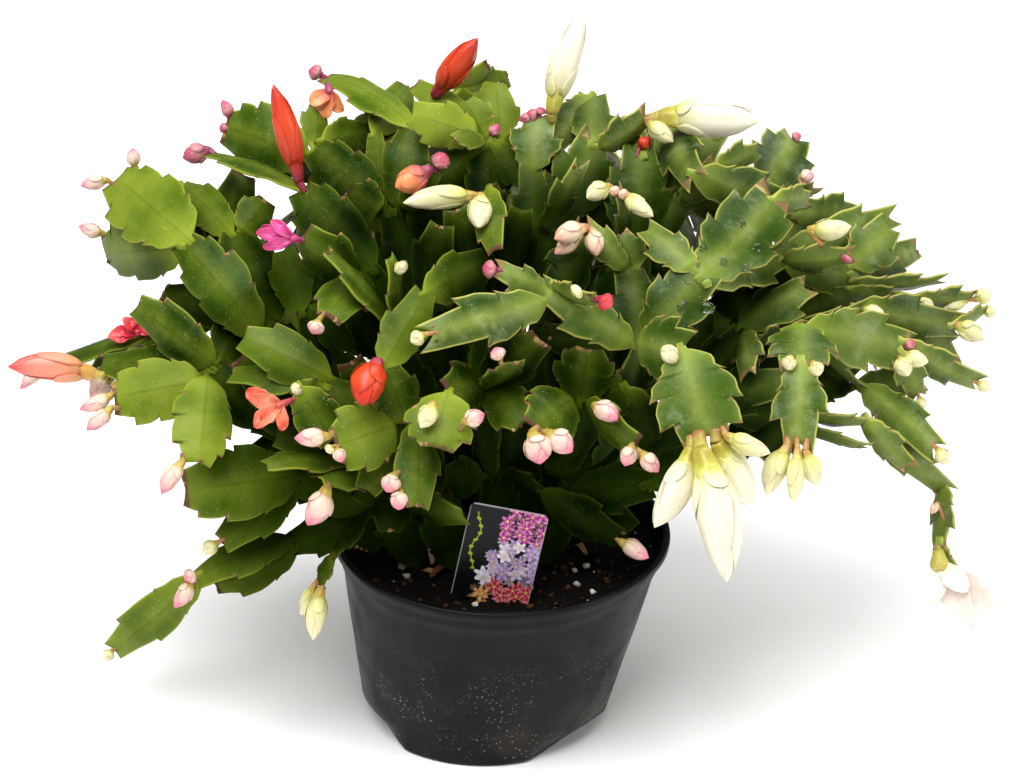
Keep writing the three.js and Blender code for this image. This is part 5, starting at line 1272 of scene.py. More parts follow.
def leafMaterial(name, looks):
    material, tree, shader = newMaterial(name, 0.4)
    place, tone, mark = marks(tree, "place"), marks(tree, "tone"), marks(tree, "mark")
    edge, across, along = place[0], place[1], place[2]
    broad, fine = grain(tree, 30, 3), grain(tree, 380, 5, 0.6)
    patches, blotch = grain(tree, 75, 5, 0.68), grain(tree, 150, 3, 0.6)
    depth = plus(tree, broad, times(tree, tone[0], 0.85))
    green = blend(tree, fade(tree, depth, 0.4, 1.0), looks["deep"], looks["base"])
    green = blend(tree, fade(tree, depth, 0.8, 1.5, 0.0, 0.85), green, looks["light"])
    glow = times(tree, fade(tree, across, 8.5, 0.5), fade(tree, patches, 0.25, 0.65, 0.4, 1.0))
    green = blend(tree, times(tree, glow, looks["glow"]), green, looks["light"])
    green = blend(tree, fade(tree, edge, 4.0, 0.0, 0.0, 0.2), green, looks["light"])
    neck = times(tree, fade(tree, along, 0.32, 0.0), 0.5)
    green = blend(tree, neck, green, looks["neck"])
    rib = fade(tree, across, looks["ribReach"], looks["ribReach"] * 0.15, 0.0, looks["ribShare"])
    green = blend(tree, times(tree, rib, fade(tree, along, 0.95, 0.7)), green, looks["rib"])
    green = blend(tree, times(tree, mark[0], 0.07), green, looks["light"])
    # dust with a painted sheen: pale grey-green patches standing partly for reflected light
    dustAndSheen = fade(tree, patches, 0.52, 0.74, 0.0, looks["dustAndSheenShare"])
    green = blend(tree, dustAndSheen, green, looks["dust"])
    worn = plus(tree, edge, times(tree, minus(tree, blotch, 0.5), 0.9))
    margin = fade(tree, worn, looks["edgeReach"] + 0.25, looks["edgeReach"] * 0.5, 0.0, looks["edgeShare"])
    green = blend(tree, margin, green, looks["margin"])
    # brown cork at the tips and teeth of some segments, with pale scabs in it
    tip = fade(tree, mark[1], looks["tipReach"], 0.0)
    tip = times(tree, tip, fade(tree, mark[2], 0.3, 0.8, 0.2, 0.85))
    tip = calc(tree, "MAXIMUM", tip, times(tree, tone[2], 0.8))
    corky = fade(tree, plus(tree, tip, times(tree, plus(tree, fine, blotch), 0.6)), 0.9, 1.35)
    green = blend(tree, times(tree, corky, 0.85), green, looks["cork"])
    scab = times(tree, corky, fade(tree, blotch, 0.55, 0.66))
    green = blend(tree, scab, green, looks["scab"])
    near, draw = dots(tree, 600, 0.17)
    speck = times(tree, near, fade(tree, draw, 0.45, 0.75, 0.0, looks["speckShare"]))
    green = blend(tree, speck, green, looks["speck"])
    # painted shade, mixed with age: colour multiplied darker by tone's second number
    green = blend(tree, times(tree, tone[1], 0.97), green, looks["shade"], "MULTIPLY")
    tree.links.new(green, shader.inputs["Base Color"])
    shine = times(tree, fade(tree, tone[1], 0.0, 0.7, 1.0, 0.12), fade(tree, broad, 0.3, 0.7, 0.5, 1.3))
    tree.links.new(times(tree, shine, looks["gloss"]), shader.inputs["Specular IOR Level"])
    gloss = plus(tree, times(tree, corky, 0.3), fade(tree, patches, 0.3, 0.8, 0.3, 0.5))
    tree.links.new(gloss, shader.inputs["Roughness"])
    height = plus(tree, grain(tree, 210, 3), times(tree, fine, 0.35))
    bumpUp(tree, shader, height, 0.0006, 0.45)
    return material


def crumbMaterial(name, dark, light, rough, scale):
    material, tree, shader = newMaterial(name, rough, Specular_IOR_Level=0.12)
    broad, fine = grain(tree, scale, 6, 0.7), grain(tree, scale * 5, 5, 0.7)
    tone = marks(tree, "tone")
    share = plus(tree, broad, times(tree, minus(tree, tone[0], 0.5), 0.4))
    body = blend(tree, fade(tree, share, 0.35, 0.8), dark, light)
    body = blend(tree, fade(tree, fine, 0.55, 0.8, 0.0, 0.4), body, dark)
    tree.links.new(body, shader.inputs["Base Color"])
    bumpUp(tree, shader, plus(tree, broad, fine), 0.0012, 0.8)
    return material


# Petal materials: colours from a bud's foot to its tip, and where each lies between them
petalLooks = {
    "rose": ["7a3044 943c54 b06870 cc8888 c46274 b43c5c", (0, 0.16, 0.3, 0.5, 0.75, 1)],
    "pink": ["7d5a34 a08c34 bca648 e6ccae ecc2b2 d8688a", (0, 0.08, 0.19, 0.3, 0.68, 1)],
    "peach": ["8a4a36 b98560 d8b488 ebd2ae e8c4a8 da9a86", (0, 0.1, 0.2, 0.45, 0.75, 1)],
    "cream": ["96603a ac8044 b0a242 cdc96a e0db9a e8dcb4", (0, 0.05, 0.14, 0.22, 0.5, 1)],
    "white": ["94683a a28c38 aca438 c6c45a e4deaa eee5ca", (0, 0.03, 0.11, 0.18, 0.27, 0.5)],
    "blush": ["94683a a49a38 b8b048 e8d8b4 f0e0d4 ecdcd2", (0, 0.06, 0.2, 0.3, 0.55, 1)],
    "orange": ["6a2238 982434 c43216 dc4416 ba1e12", (0, 0.1, 0.22, 0.6, 1)],
    "salmon": ["b0a04e d9a050 ef9d78 f08a74 dc4650", (0, 0.16, 0.36, 0.7, 1)],
    "scarlet": ["7c2a3e b83040 d8283c e0605c", (0, 0.2, 0.6, 1)],
    "magenta": ["8a3550 c8407c dc4a92 c42a60", (0, 0.3, 0.7, 1)],
    "apricot": ["8a3558 9c4456 d8704c ee9a62 ea8250", (0, 0.3, 0.55, 0.8, 1)],
    "coral": ["8c3450 c05040 ee9272 ea7456 d4382a", (0, 0.2, 0.5, 0.8, 1)],
}
petalSpot = "a5744c"  # the colour of the few dots on each


def ramp(tree, value, codes, places):
    node = addNode(tree, "ValToRGB", {0: value})
    elements = node.color_ramp.elements
    while len(elements) < len(codes):
        elements.new(0.5)
    for element, code, place in zip(elements, codes, places):
        element.position = place
        element.color = colour(code)
    return node.outputs[0]


def petalMaterial(look, codes, places):
    codes = codes.split()
    glow = {"Subsurface_Weight": 0.18, "Subsurface_Scale": 0.003}
    material, tree, shader = newMaterial(look + "Petal", 0.42, **glow)
    shader.inputs["Subsurface Radius"].default_value = (1.0, 0.7, 0.5)
    place, mark = marks(tree, "place"), marks(tree, "mark")
    cloudy = grain(tree, 240, 3)
    shift = times(tree, minus(tree, cloudy, 0.5), 0.16)
    along = plus(tree, place[0], shift)
    skin = ramp(tree, along, codes, places)
    streaks = grain(tree, 900, 2)
    skin = blend(tree, fade(tree, streaks, 0.5, 0.75, 0.0, 0.16), skin, codes[-1])
    foldEdge = times(tree, fade(tree, place[1], 0.72, 1.0), mark[0])
    skin = blend(tree, times(tree, foldEdge, 0.5), skin, codes[-1])
    foldFoot = times(tree, fade(tree, mark[1], 0.3, 0.0), mark[0])
    skin = blend(tree, times(tree, foldFoot, 0.3), skin, codes[2])
    near, draw = dots(tree, 900, 0.2)
    spot = times(tree, near, fade(tree, draw, 0.9, 0.95, 0.0, 0.35))
    skin = blend(tree, spot, skin, petalSpot)
    tree.links.new(skin, shader.inputs["Base Color"])
    height = plus(tree, streaks, times(tree, cloudy, 0.6))
    bumpUp(tree, shader, height, 0.0003, 0.35)
    return material


leafMaterials = {kind: leafMaterial(kind + "Leaf", looks) for kind, looks in leafLooks.items()}
petalMaterials = {look: petalMaterial(look, *shades) for look, shades in petalLooks.items()}
crustMaterial = crumbMaterial("cork", "6b4a32", "cda878", 0.9, 500)
print("cactus: leaf and petal materials made")


# Leaves deep in the crown, darkened by painted shade, hidden but for the gaps that they close, in
# the rows of the blades
innerLeaves = {
    "left_high": [[9, -92, 67, 40, 26, 0], [13, -131, 109, 42, 27, 10]],
    "left_middle": [[1, -129, -35, 46, 24, 0], [11, -172, 50, 40, 22, 10]],
    "top_middle": [[3, -35, 103, 42, 22, 10], [3, 13, 103, 42, 20, -10], [10, 1, 157, 48, 18, 0]],
    "right_high": [[1, 21, 27, 80, 24, 0], [9, 89, 111, 46, 20, 0]],
    "right_front": [[27, 65, 73, 54, 24, 0], [11, 147, 97, 44, 26, 0]],
    "right_side": [[27, 112, -35, 60, 26, 0], [15, 127, -33, 46, 24, 0], [22, 103, 61, 52, 26, 0],
                   [22, 146, 71, 44, 24, 0], [1, 96, 39, 62, 26, 0]],
    "middle": [[7, 14, 23, 58, 24, 0]],
    "middle_right": [[0, 57, -15, 56, 26, 0], [6, 99, -29, 46, 22, 0]],
}

# Buds too small for the plain part, in the same rows
tinyBuds = {
    "upper_left": [
        [10, -35, 112, -31, 119, 6, 9, "rose"], [5, -60, 143, -58, 145, 2, 5, "rose"],
        [7, -139, 134, -143, 130, 2, 5, "rose"],
    ],
    "top_middle": [[3, -8, 127, -4, 134, 2, 6, "rose"]],
    "upper_middle": [
        [4, 16, 138, 10, 139, 2, 6, "rose"], [4, 17, 139, 18, 142, 2, 5, "rose"],
        [4, 15, 138, 6, 136, 0, 5, "rose"],
    ],
    "right_high": [
        [14, 53, 102, 55, 99, 4, 5, "peach"], [14, 57, 100, 60, 98, 4, 5, "peach"],
        [12, 143, 126, 147, 129, 2, 5, "rose"],
    ],
    "right_front": [
        [22, -5, 61, -12, 62, 3, 8, "rose"], [12, 171, 68, 169, 65, 2, 5, "rose"],
        [18, 231, 46, 218, 41, 3, 6, "cream"], [5, 84, 21, 79, 17, 6, 9, "cream"],
        [19, 38, 80, 24, 69, 3, 8, "peach"], [23, 46, 47, 53, 43, 3, 8, "scarlet"],
    ],
    "right_side": [
        [10, 238, 41, 245, 39, 2, 6, "cream"], [8, 177, 42, 190, 37, 3, 7, "cream"],
        [5, 199, 22, 204, 26, 2, 5, "rose"], [12, 206, -2, 208, -9, 2, 5, "cream"],
        [20, 216, -55, 212, -61, 2, 4, "peach"],
    ],
    "middle": [[3, -22, -15, -11, -11, 3, 8, "pink"]],
    "middle_right": [[3, 67, -30, 76, -40, 3, 8, "pink"]],
    "middle_left": [[2, -87, -27, -90, -30, 2, 5, "cream"], [2, -85, -28, -82, -35, 3, 6, "pink"]],
}

# Water drops on two segments of one stem: [share of the segment's length, aside, radius]
wetStem = "right_front"
drops = {
    4: [[0.57, 2.9, 3.2], [0.74, 12.0, 3.4], [0.81, -1.8, 2.0], [0.9, -6.7, 1.6], [0.66, -9.0, 1.0]],
    9: [
        [0.56, -2.6, 3.0], [0.18, -8.0, 2.5], [0.21, 2.8, 3.1], [0.58, 7.4, 1.7], [0.51, 10.5, 3.2],
        [0.585, 13.4, 1.1], [0.31, 12.6, 2.4], [0.67, 14.0, 1.5], [0.64, -1.6, 1.2], [0.47, 15.2, 1.1],
        [0.38, -5.0, 0.9], [0.7, 3.0, 0.9],
    ],
}


def innerBlades(name, kind, blades, number):
    made = []
    for n, (parent, right, up, back, width, turn) in enumerate(innerLeaves.get(name, [])):
        start = bladePoint(blades[parent], 0.9, 0.0, 0.0)
        to = sighted(right, up, crownNear(right, up) - back)
        face = unit(eye - (start + to) / 2)
        blade = newBlade(-1, start, to, width, turn, face, kind + "Small", n)
        blade["inward"] = True
        blade["seed"] = number * 41 + 60 + n  # draws of their own, past those of the stem's other blades
        blade["rows"] = segment["innerRows"]
        made.append(blade)
    return finishBlades(made, 0, (0.0, 0.25), {})


dropForm = {
    "rings": 6, "sides": 20, "above": 0.35, "oval": 0.16, "height": 0.42, "tints": ("f4faee", "e4f0d8"),
}


def addDrop(skin, blade, t, aside, radius, look):
    centre = bladePoint(blade, t, aside, dropForm["above"])
    points = []
    for polar in np.linspace(0.08, 0.5 * math.pi, dropForm["rings"]):
        up = blade["normal"] * radius * dropForm["height"] * math.cos(polar)
        for k in range(dropForm["sides"]):
            angle = 2 * math.pi * k / dropForm["sides"]
            wide = radius * (1 + dropForm["oval"] * math.cos(2 * angle + radius * 9))
            way = blade["across"] * math.cos(angle) + blade["along"] * math.sin(angle)
            points.append(centre + way * wide * math.sin(polar) + up)
    addPart(skin, points, tubeFaces(dropForm["rings"], dropForm["sides"]), look)


def waterMaterial():
    material, tree, shader = newMaterial("waterDrop", 0.03, Transmission_Weight=1.0, IOR=1.33)
    shade = blend(tree, grain(tree, 200, 2), *dropForm["tints"])
    tree.links.new(shade, shader.inputs["Base Color"])
    bumpUp(tree, shader, grain(tree, 60, 1), 0.0001, 0.05)
    return material


crust = {"most": 3, "spread": 0.42, "size": (0.7, 0.75), "flat": 0.8, "bare": {"round": 0.35, "claw": 0.7}}


def addCrust(skin, blade, look):  # a few corky knobs where buds have dropped from a free tip
    count = 1 + int(crust["most"] * vary(blade["seed"] * 2.3))
    for n in range(count):
        seed = blade["seed"] * 3.7 + n * 1.3
        aside = (vary(seed) - 0.5) * blade["width"] * crust["spread"]
        spot = bladePoint(blade, segment["tip"] + 0.004, aside, 0.2)
        addLump(skin, spot, drawn(crust["size"], seed + 2), look, seed, crust["flat"])


def makeStem(name, kind, blades, buds):
    skin = newSkin()
    addFoot(skin, blades[0], 0)
    for blade in blades:
        addBlade(skin, blade, 0)
    looks = sorted({row[-1] for row in buds})
    for n, row in enumerate(buds):
        blade = blades[row[0]]
        start, to = row[1:3] if len(row) < 8 else budPlaces(row, blade, 0.0)
        girth, look = row[-2], 1 + looks.index(row[-1])
        addBud(skin, start, to, girth, look, blade["seed"] + n * 3.1, bud["smallFine"])
        base = start + unit(to - start) * bud["sunk"]
        addStalk(skin, stalkStart([blade], start), base, budStalk(girth), look)
    corky = 1 + len(looks)
    for blade in blades:
        if not blade["children"] and vary(blade["seed"] * 5.1) > crust["bare"][kind]:
            addCrust(skin, blade, corky)
    materials = [leafMaterials[kind]] + [petalMaterials[look] for look in looks] + [crustMaterial]
    if name == wetStem:
        materials.append(waterMaterial())
        for number, places in drops.items():
            for t, aside, radius in places:
                addDrop(skin, blades[number], t, aside, radius, corky + 1)
    makePiece("leafy_" + name, skin, materials, ["stem_" + name])


farBud = {
    "bare": 0.25, "most": 2, "spread": 7, "length": (8, 8), "look": {"round": "pink", "claw": "cream"},
}


def farBuds(blades, kind):  # closed buds on the free tips of the far side
    rows = []
    for number, blade in enumerate(blades):
        seed = blade["seed"]
        if blade["children"] or vary(seed) < farBud["bare"]:
            continue
        for n in range(1 + int(farBud["most"] * vary(seed + 1))):
            aside = (vary(seed + n * 2) - 0.5) * farBud["spread"]
            start = bladePoint(blade, segment["tip"], aside, 0.3)
            way = blade["along"] + blade["across"] * aside * 0.1 + blade["normal"] * 0.25
            way = unit(way - np.array([0.0, 0.0, 0.35]))
            length = drawn(farBud["length"], seed + n + 5)
            rows.append([number, start, start + way * length, 0.56 * length + 1.5, farBud["look"][kind]])
    return rows


for number, (name, stem) in enumerate(stems.items()):
    blades = nearBlades(stem, number)
    small, lone = [], []
    for row in stem["buds"]:
        start, to = budPlaces(row, blades[row[0]], 0.0)
        (lone if np.linalg.norm(to - start) >= growth["loneBud"] else small).append(row)
    deeper = innerBlades(name, stem["kind"], blades, number)
    makeStem(name, stem["kind"], blades + deeper, small + tinyBuds.get(name, []))
    for n, row in enumerate(lone):
        makeBud(name + "_bud_" + str(n + 1), row, blades, number * 9 + n)
    for row in stem.get("flowers", []):
        makeFlower(name, row, blades, number)
print("cactus: near stems made")

for order, (name, (kind, root, heading, reach, rise)) in enumerate(farStems.items()):
    blades = farBlades(kind, root, heading, reach, rise, order + 1)
    makeStem(name, kind, blades, farBuds(blades, kind))
print("cactus: far stems made")


# Pot
pot = {
    "height": 100.0, "rim": 84.0, "base": 62.0, "lean": 9.0, "wall": 1.4, "floor": 2.0, "sides": 176,
    "lip": 2.6, "lipDepth": 4.5, "step": 13.0, "stepSize": 0.9,
    "footHeight": 13.0, "footBite": 9.0, "footCount": 3, "footTurn": 80.0, "dent": 0.7,
    "drain": 4.0, "drainHalf": 8, "drainSides": 24, "drainTilt": 0.9, "drainUp": 0.42,
    "black": ("070708", "0d0d0f"),
    "dust": ("4a4138", "3d3b3a"),  # near the floor, and fine all over
    "speck": "b9b4a8",
    "specks": [[340, 0.14, 0.45], [620, 0.19, 0.3]],  # cells to a metre, share of a cell, rarity
}


def potRadius(height):
    return pot["base"] + (pot["rim"] - pot["lip"] - pot["base"]) * height / pot["height"]


def potPoints(profile, sides, dented):
    angle = np.arange(sides) * 2 * math.pi / sides
    radius = np.array([r for r, _ in profile])[:, None] * np.ones(sides)
    height = np.array([h for _, h in profile])[:, None] * np.ones(sides)
    wave = np.maximum(0, np.cos(pot["footCount"] * (angle - math.radians(pot["footTurn"]))))
    push = pot["footBite"] * wave * np.maximum(0, 1 - height / pot["footHeight"])
    push = push * ease(radius, pot["base"] * 0.7, pot["base"] * 0.98)
    if dented:
        x, y = np.cos(angle) * 70, np.sin(angle) * 70
        dent = lumps(x + height * 0.6, y - height * 0.7, 34, 3)
        dent = dent + 0.4 * lumps(x - height, y + height, 13, 5)
        push = push + pot["dent"] * dent * ease(height, 6, 24) * ease(-height, -86, -70)
    radius = radius - push
    x = radius * np.cos(angle) + pot["lean"] * height / pot["height"]
    return np.stack([x, radius * np.sin(angle), height], axis=-1)


def potProfile():  # from the middle of its underside, out and over the rim, to the middle of its floor
    top, step = pot["height"], pot["height"] - pot["step"]
    band = top - pot["lipDepth"]
    base, rim, floor = pot["base"], pot["rim"], pot["floor"]
    rows = [[0.1, 0], [30, 0], [base - 8, 0], [base - 1.9, 0], [base - 1.0, 0.35]]
    rows += [[potRadius(h), h] for h in (1.4, 2.2, 4, 6, 8, 10, 12, 13)]
    rows += [[potRadius(h), h] for h in np.linspace(17, step - 0.4, 16)]
    rows += [[potRadius(step) + 0.15, step], [potRadius(step) + 0.6, step + 0.4]]
    rows += [[potRadius(h) + pot["stepSize"], h] for h in (step + 1, step + 3, step + 5, band - 0.5)]
    rows += [[potRadius(band) + 1.3, band], [rim - 0.7, band + 0.4], [rim, band + 1.1], [rim, top - 1.3]]
    rows += [[rim - 0.2, top - 0.5], [rim - 0.7, top - 0.1], [rim - 1.6, top], [rim - 2.6, top]]
    rows += [[rim - 3.2, top - 0.4]]
    rows += [[potRadius(h) - 0.9, h] for h in (98.5, band)]
    rows += [[potRadius(h) - pot["wall"], h] for h in np.linspace(90, 13, 9)]
    return rows + [[potRadius(floor) - pot["wall"], floor], [50, floor], [0.1, floor]]


def drainCutter():
    cutter = newSkin()
    sides = pot["drainSides"]
    for k in range(pot["footCount"]):
        swing = math.radians(pot["footTurn"]) + k * 2 * math.pi / pot["footCount"]
        outward = np.array([math.cos(swing), math.sin(swing), 0.0])
        centre = outward * (pot["base"] - pot["footBite"] * 0.6)
        centre = centre + np.array([0, 0, pot["footHeight"] * pot["drainUp"]])
        axis = outward * math.sin(pot["drainTilt"]) + np.array([0, 0, -math.cos(pot["drainTilt"])])
        side = np.array([-math.sin(swing), math.cos(swing), 0.0])
        other = np.cross(axis, side)
        points = []
        for end in (-pot["drainHalf"], pot["drainHalf"]):
            points += ringPoints(centre + axis * end, side, other, pot["drain"], sides)
        addPart(cutter, points, tubeFaces(2, sides), 0)
    return cutter


def makePot():
    profile = potProfile()
    skin = newSkin()
    addPart(skin, potPoints(profile, pot["sides"], True), tubeFaces(len(profile), pot["sides"]), 0)
    piece = makePiece("nursery_pot", skin, [potMaterial()], ["pot"])
    cutter = drainCutter()
    mesh = bpy.data.meshes.new("drains")
    mesh.from_pydata((np.concatenate(cutter["points"]) * millimetre).tolist(), [], cutter["faces"])
    drains = bpy.data.objects.new("drains", mesh)
    bpy.context.scene.collection.objects.link(drains)
    hole = piece.modifiers.new("drains", "BOOLEAN")
    hole.object = drains
    hole.solver = "EXACT"
    shaped = piece.evaluated_get(bpy.context.evaluated_depsgraph_get())
    piece.data = bpy.data.meshes.new_from_object(shaped)
    piece.modifiers.clear()
    bpy.data.objects.remove(drains)


def potMaterial():
    material, tree, shader = newMaterial("potPlastic", 0.42, Specular_IOR_Level=0.13)
    where = addNode(tree, "TexCoord").outputs["Object"]
    height = addNode(tree, "SeparateXYZ", {0: where}).outputs[2]
    broad, fine = grain(tree, 22, 4), grain(tree, 260, 6, 0.65)
    black = blend(tree, fade(tree, broad, 0.3, 0.7), *pot["black"])
    dust = times(tree, fade(tree, height, 0.05, 0.0), fade(tree, broad, 0.45, 0.75))
    black = blend(tree, times(tree, dust, 0.5), black, pot["dust"][0])
    black = blend(tree, fade(tree, fine, 0.55, 0.8, 0.0, 0.25), black, pot["dust"][1])
    for scale, size, rare in pot["specks"]:
        near, draw = dots(tree, scale, size)
        speck = times(tree, near, fade(tree, draw, rare, rare + 0.15, 0.0, 0.85))
        speck = times(tree, speck, fade(tree, grain(tree, 45, 3), 0.42, 0.58))
        speck = times(tree, speck, fade(tree, height, 0.075, 0.03))
        black = blend(tree, speck, black, pot["speck"])
    tree.links.new(black, shader.inputs["Base Color"])
    tree.links.new(fade(tree, grain(tree, 60, 4), 0.3, 0.75, 0.32, 0.55), shader.inputs["Roughness"])
    scratches = grain(tree, 40, 6, 0.7, (1.0, 1.0, 9.0))
    bumpUp(tree, shader, plus(tree, scratches, times(tree, fine, 0.4)), 0.0004, 0.4)
    return material


# Soil: a crumbly top with bark, perlite and dry bits
soil = {
    "gap": 0.3, "bump": 1.6, "footEase": 2.8, "rings": 76, "sides": 176,
    "crumbs": 720, "crumbSize": (0.5, 1.6), "perlite": 26, "reach": 76, "middle": 8,
    # dry bits as right and up of both ends, and lumps of perlite as right, up and size
    "bits": [[-38, -75, -37, -87], [-38, -94, -28, -87], [32, -76, 40, -82], [-42, -91, -36, -93]],
    "whites": [[-52, -87, 2.4], [35, -96, 1.9], [34, -89, 1.6], [40, -87, 1.8], [12, -98, 1.5]],
    # name, dark and light colour, roughness and grains to a metre
    "mixes": [
        ["pottingMix", "070403", "2a1a0e", 0.95, 190],
        ["bark", "0e0805", "54361e", 0.9, 320],
        ["perlite", "b9b2a2", "f1ece0", 0.85, 500],
        ["dryLeaf", "5a3a22", "a98a5c", 0.8, 260],
    ],
}


def soilHeight(x, y):
    slow = np.sin(x * 0.11 + 1.3) * np.cos(y * 0.13 - 0.4)
    quick = np.sin(x * 0.31 + y * 0.23) * np.cos(y * 0.37 - x * 0.12)
    return soil["bump"] * (0.65 * slow + 0.35 * quick)


def onSoil(right, up):  # the point of the soil's top that is seen there
    drop = sightCentre[2] - growth["soilTop"] - 1.0
    flat = up * math.cos(viewTilt)
    near = (-drop - flat) / (math.sin(viewTilt) - flat / plantView["distance"])
    return sighted(right, up, near)


def makeSoil():
    def inner(height):
        return potRadius(height) - pot["wall"] - soil["gap"]

    top = growth["soilTop"]
    profile = [[r, top] for r in np.linspace(0.3, inner(top) - 0.5, soil["rings"])]
    profile += [[inner(top) - 0.3, top - 1], [inner(50), 50], [inner(13) - soil["footEase"], 13]]
    profile += [[inner(2) - soil["footEase"], 2.3], [50, 2.3], [0.3, 2.3]]
    points = potPoints(profile, soil["sides"], False)
    x, y = points[:soil["rings"], :, 0], points[:soil["rings"], :, 1]
    crumbly = 1.5 * lumps(x, y, 5.5, 1) + 1.2 * lumps(x, y, 2.6, 2) + 0.7 * lumps(x, y, 1.3, 4)
    calm = np.linspace(1, 0, soil["rings"])[:, None] ** 0.3
    points[:soil["rings"], :, 2] += soilHeight(x, y) + crumbly * (0.35 + 0.65 * calm) - 0.3
    skin = newSkin()
    addPart(skin, points, tubeFaces(len(profile), soil["sides"]), 0)
    for k in range(soil["crumbs"]):
        angle, reach = vary(k * 2.3) * 6.283, soil["reach"] * math.sqrt(vary(k * 5.9 + 1))
        spot = np.array([reach * math.cos(angle) + soil["middle"], reach * math.sin(angle), top])
        spot[2] += float(soilHeight(spot[0], spot[1])) + 0.4
        size = soil["crumbSize"][0] + soil["crumbSize"][1] * vary(k * 3.1) ** 3
        addLump(skin, spot, size, 1 if k > soil["perlite"] else 2, k)
    for n, (right, up, size) in enumerate(soil["whites"]):
        addLump(skin, onSoil(right, up), size, 2, n + 900)
    for n, (right, up, tipRight, tipUp) in enumerate(soil["bits"]):
        start = onSoil(right, up) + np.array([0, 0, 1.5])
        to = onSoil(tipRight, tipUp) + np.array([0, 0, 1.0])
        shares = np.linspace(0, 1, 9)
        line = [start + (to - start) * s + np.array([0, 0, 1.2 * math.sin(s * 3.14)]) for s in shares]
        widths = [1.2 + 2.6 * math.sin(3.14 * s) for s in np.linspace(0.05, 0.95, 9)]
        addPetal(skin, line, unit(np.cross(to - start, [0, 0, 1.0])), widths, 0.5, 0.3, 3, n, ruffle=0.5)
    materials = [crumbMaterial(*mix) for mix in soil["mixes"]]
    makePiece("potting_soil", skin, materials, ["soil"])


# Label: a bevelled card on a stake, with a plain print of small flowers and no lettering
label = {
    "width": 38.0, "height": 51.0, "thick": 0.8, "corner": 3.0, "cornerSteps": 8,
    "stakeWidth": 12.0, "stakeDepth": 30.0, "point": 8,
    "lean": 11.6, "place": (2.6, -53.0, 90.5), "bevel": 0.18,
    "card": ("08080b", "0f1014"), "back": "1c1c20", "border": "b4b2b8", "tendril": "98a424",
    # the printed blossoms, from the foot of the card up, and what all of them share
    "warm": ("dd9414", "c41e20"), "cool": ("a98cc6", "e6dfe9"), "bright": "b41c88",
    "ridge": "efdcea", "heart": "5a2a50", "pollen": "dcc464", "dull": "1c141c",
    # each layer of them: cells to a millimetre, petals, reach and how dull
    "layers": [[0.2, 7.0, 2.3, 0.5], [0.13, 6.0, 3.3, 0.1], [0.15, 5.0, 2.8, 0.0]],
}


def makeLabel():
    half, top, stake = label["width"] / 2, label["height"], label["stakeWidth"] / 2
    corner, stakeEnd = label["corner"], -label["stakeDepth"]
    outline = [[stake, 0], [half, 0]]
    for side, turn in ((1, 0), (-1, 90)):
        for k in range(label["cornerSteps"] + 1):
            angle = math.radians(turn + 90 * k / label["cornerSteps"])
            aside = side * half - corner * (side - math.cos(angle))
            outline.append([aside, top - corner * (1 - math.sin(angle))])
    outline += [[-half, 0], [-stake, 0], [-stake, label["point"] + stakeEnd], [0, stakeEnd]]
    outline += [[stake, label["point"] + stakeEnd]]
    outline = np.array(outline)
    before, after = np.roll(outline, 1, axis=0), np.roll(outline, -1, axis=0)
    tangent = after - before
    tangent /= np.linalg.norm(tangent, axis=1)[:, None]
    inward = np.stack([-tangent[:, 1], tangent[:, 0]], axis=1) * label["bevel"]
    deep = label["thick"] / 2
    layers = [(outline + inward, -deep), (outline, label["bevel"] - deep), (outline, deep - label["bevel"])]
    layers.append((outline + inward, deep))
    lean = math.radians(label["lean"])
    points, place = [], []
    for layer, depth in layers:
        for x, z in layer:
            points.append([
                label["place"][0] + x * math.cos(lean) + z * math.sin(lean),
                label["place"][1] + depth,
                label["place"][2] - x * math.sin(lean) + z * math.cos(lean),
            ])
            place.append([x / half, z / top, 1.0 if depth < 0.0 else 0.0])
    skin = newSkin()
    addPart(skin, points, tubeFaces(4, len(outline)), 0, place)
    piece = makePiece("plant_label", skin, [labelMaterial()], ["label"])
    piece.data.polygons.foreach_set("use_smooth", np.zeros(len(piece.data.polygons), bool))


def blossoms(tree, spot, scale, count, reach):  # generic star-shaped blossoms, one to a cell
    inputs = {"Vector": spot, "Scale": scale, "Randomness": 0.85}
    cells = addNode(tree, "TexVoronoi", inputs, voronoi_dimensions="2D")
    centre = cells.outputs["Position"]
    offset = addNode(tree, "VectorMath", {0: spot, 1: centre}, operation="SUBTRACT").outputs[0]
    offset = addNode(tree, "SeparateXYZ", {0: offset}).outputs
    centre = addNode(tree, "SeparateXYZ", {0: centre}).outputs
    draws = addNode(tree, "SeparateXYZ", {0: cells.outputs["Color"]}).outputs
    angle = calc(tree, "ARCTAN2", offset[1], offset[0])
    turn = plus(tree, times(tree, angle, count), times(tree, draws[0], 6.3))
    petal = calc(tree, "COSINE", turn)
    edge = plus(tree, times(tree, petal, reach * 0.3), reach)
    edge = times(tree, edge, fade(tree, draws[2], 0.0, 1.0, 0.75, 1.15))
    distance = times(tree, cells.outputs["Distance"], 1 / scale)
    inside = fade(tree, minus(tree, distance, edge), 0.25, -0.25)
    return inside, distance, petal, draws[1], centre[0], centre[1]


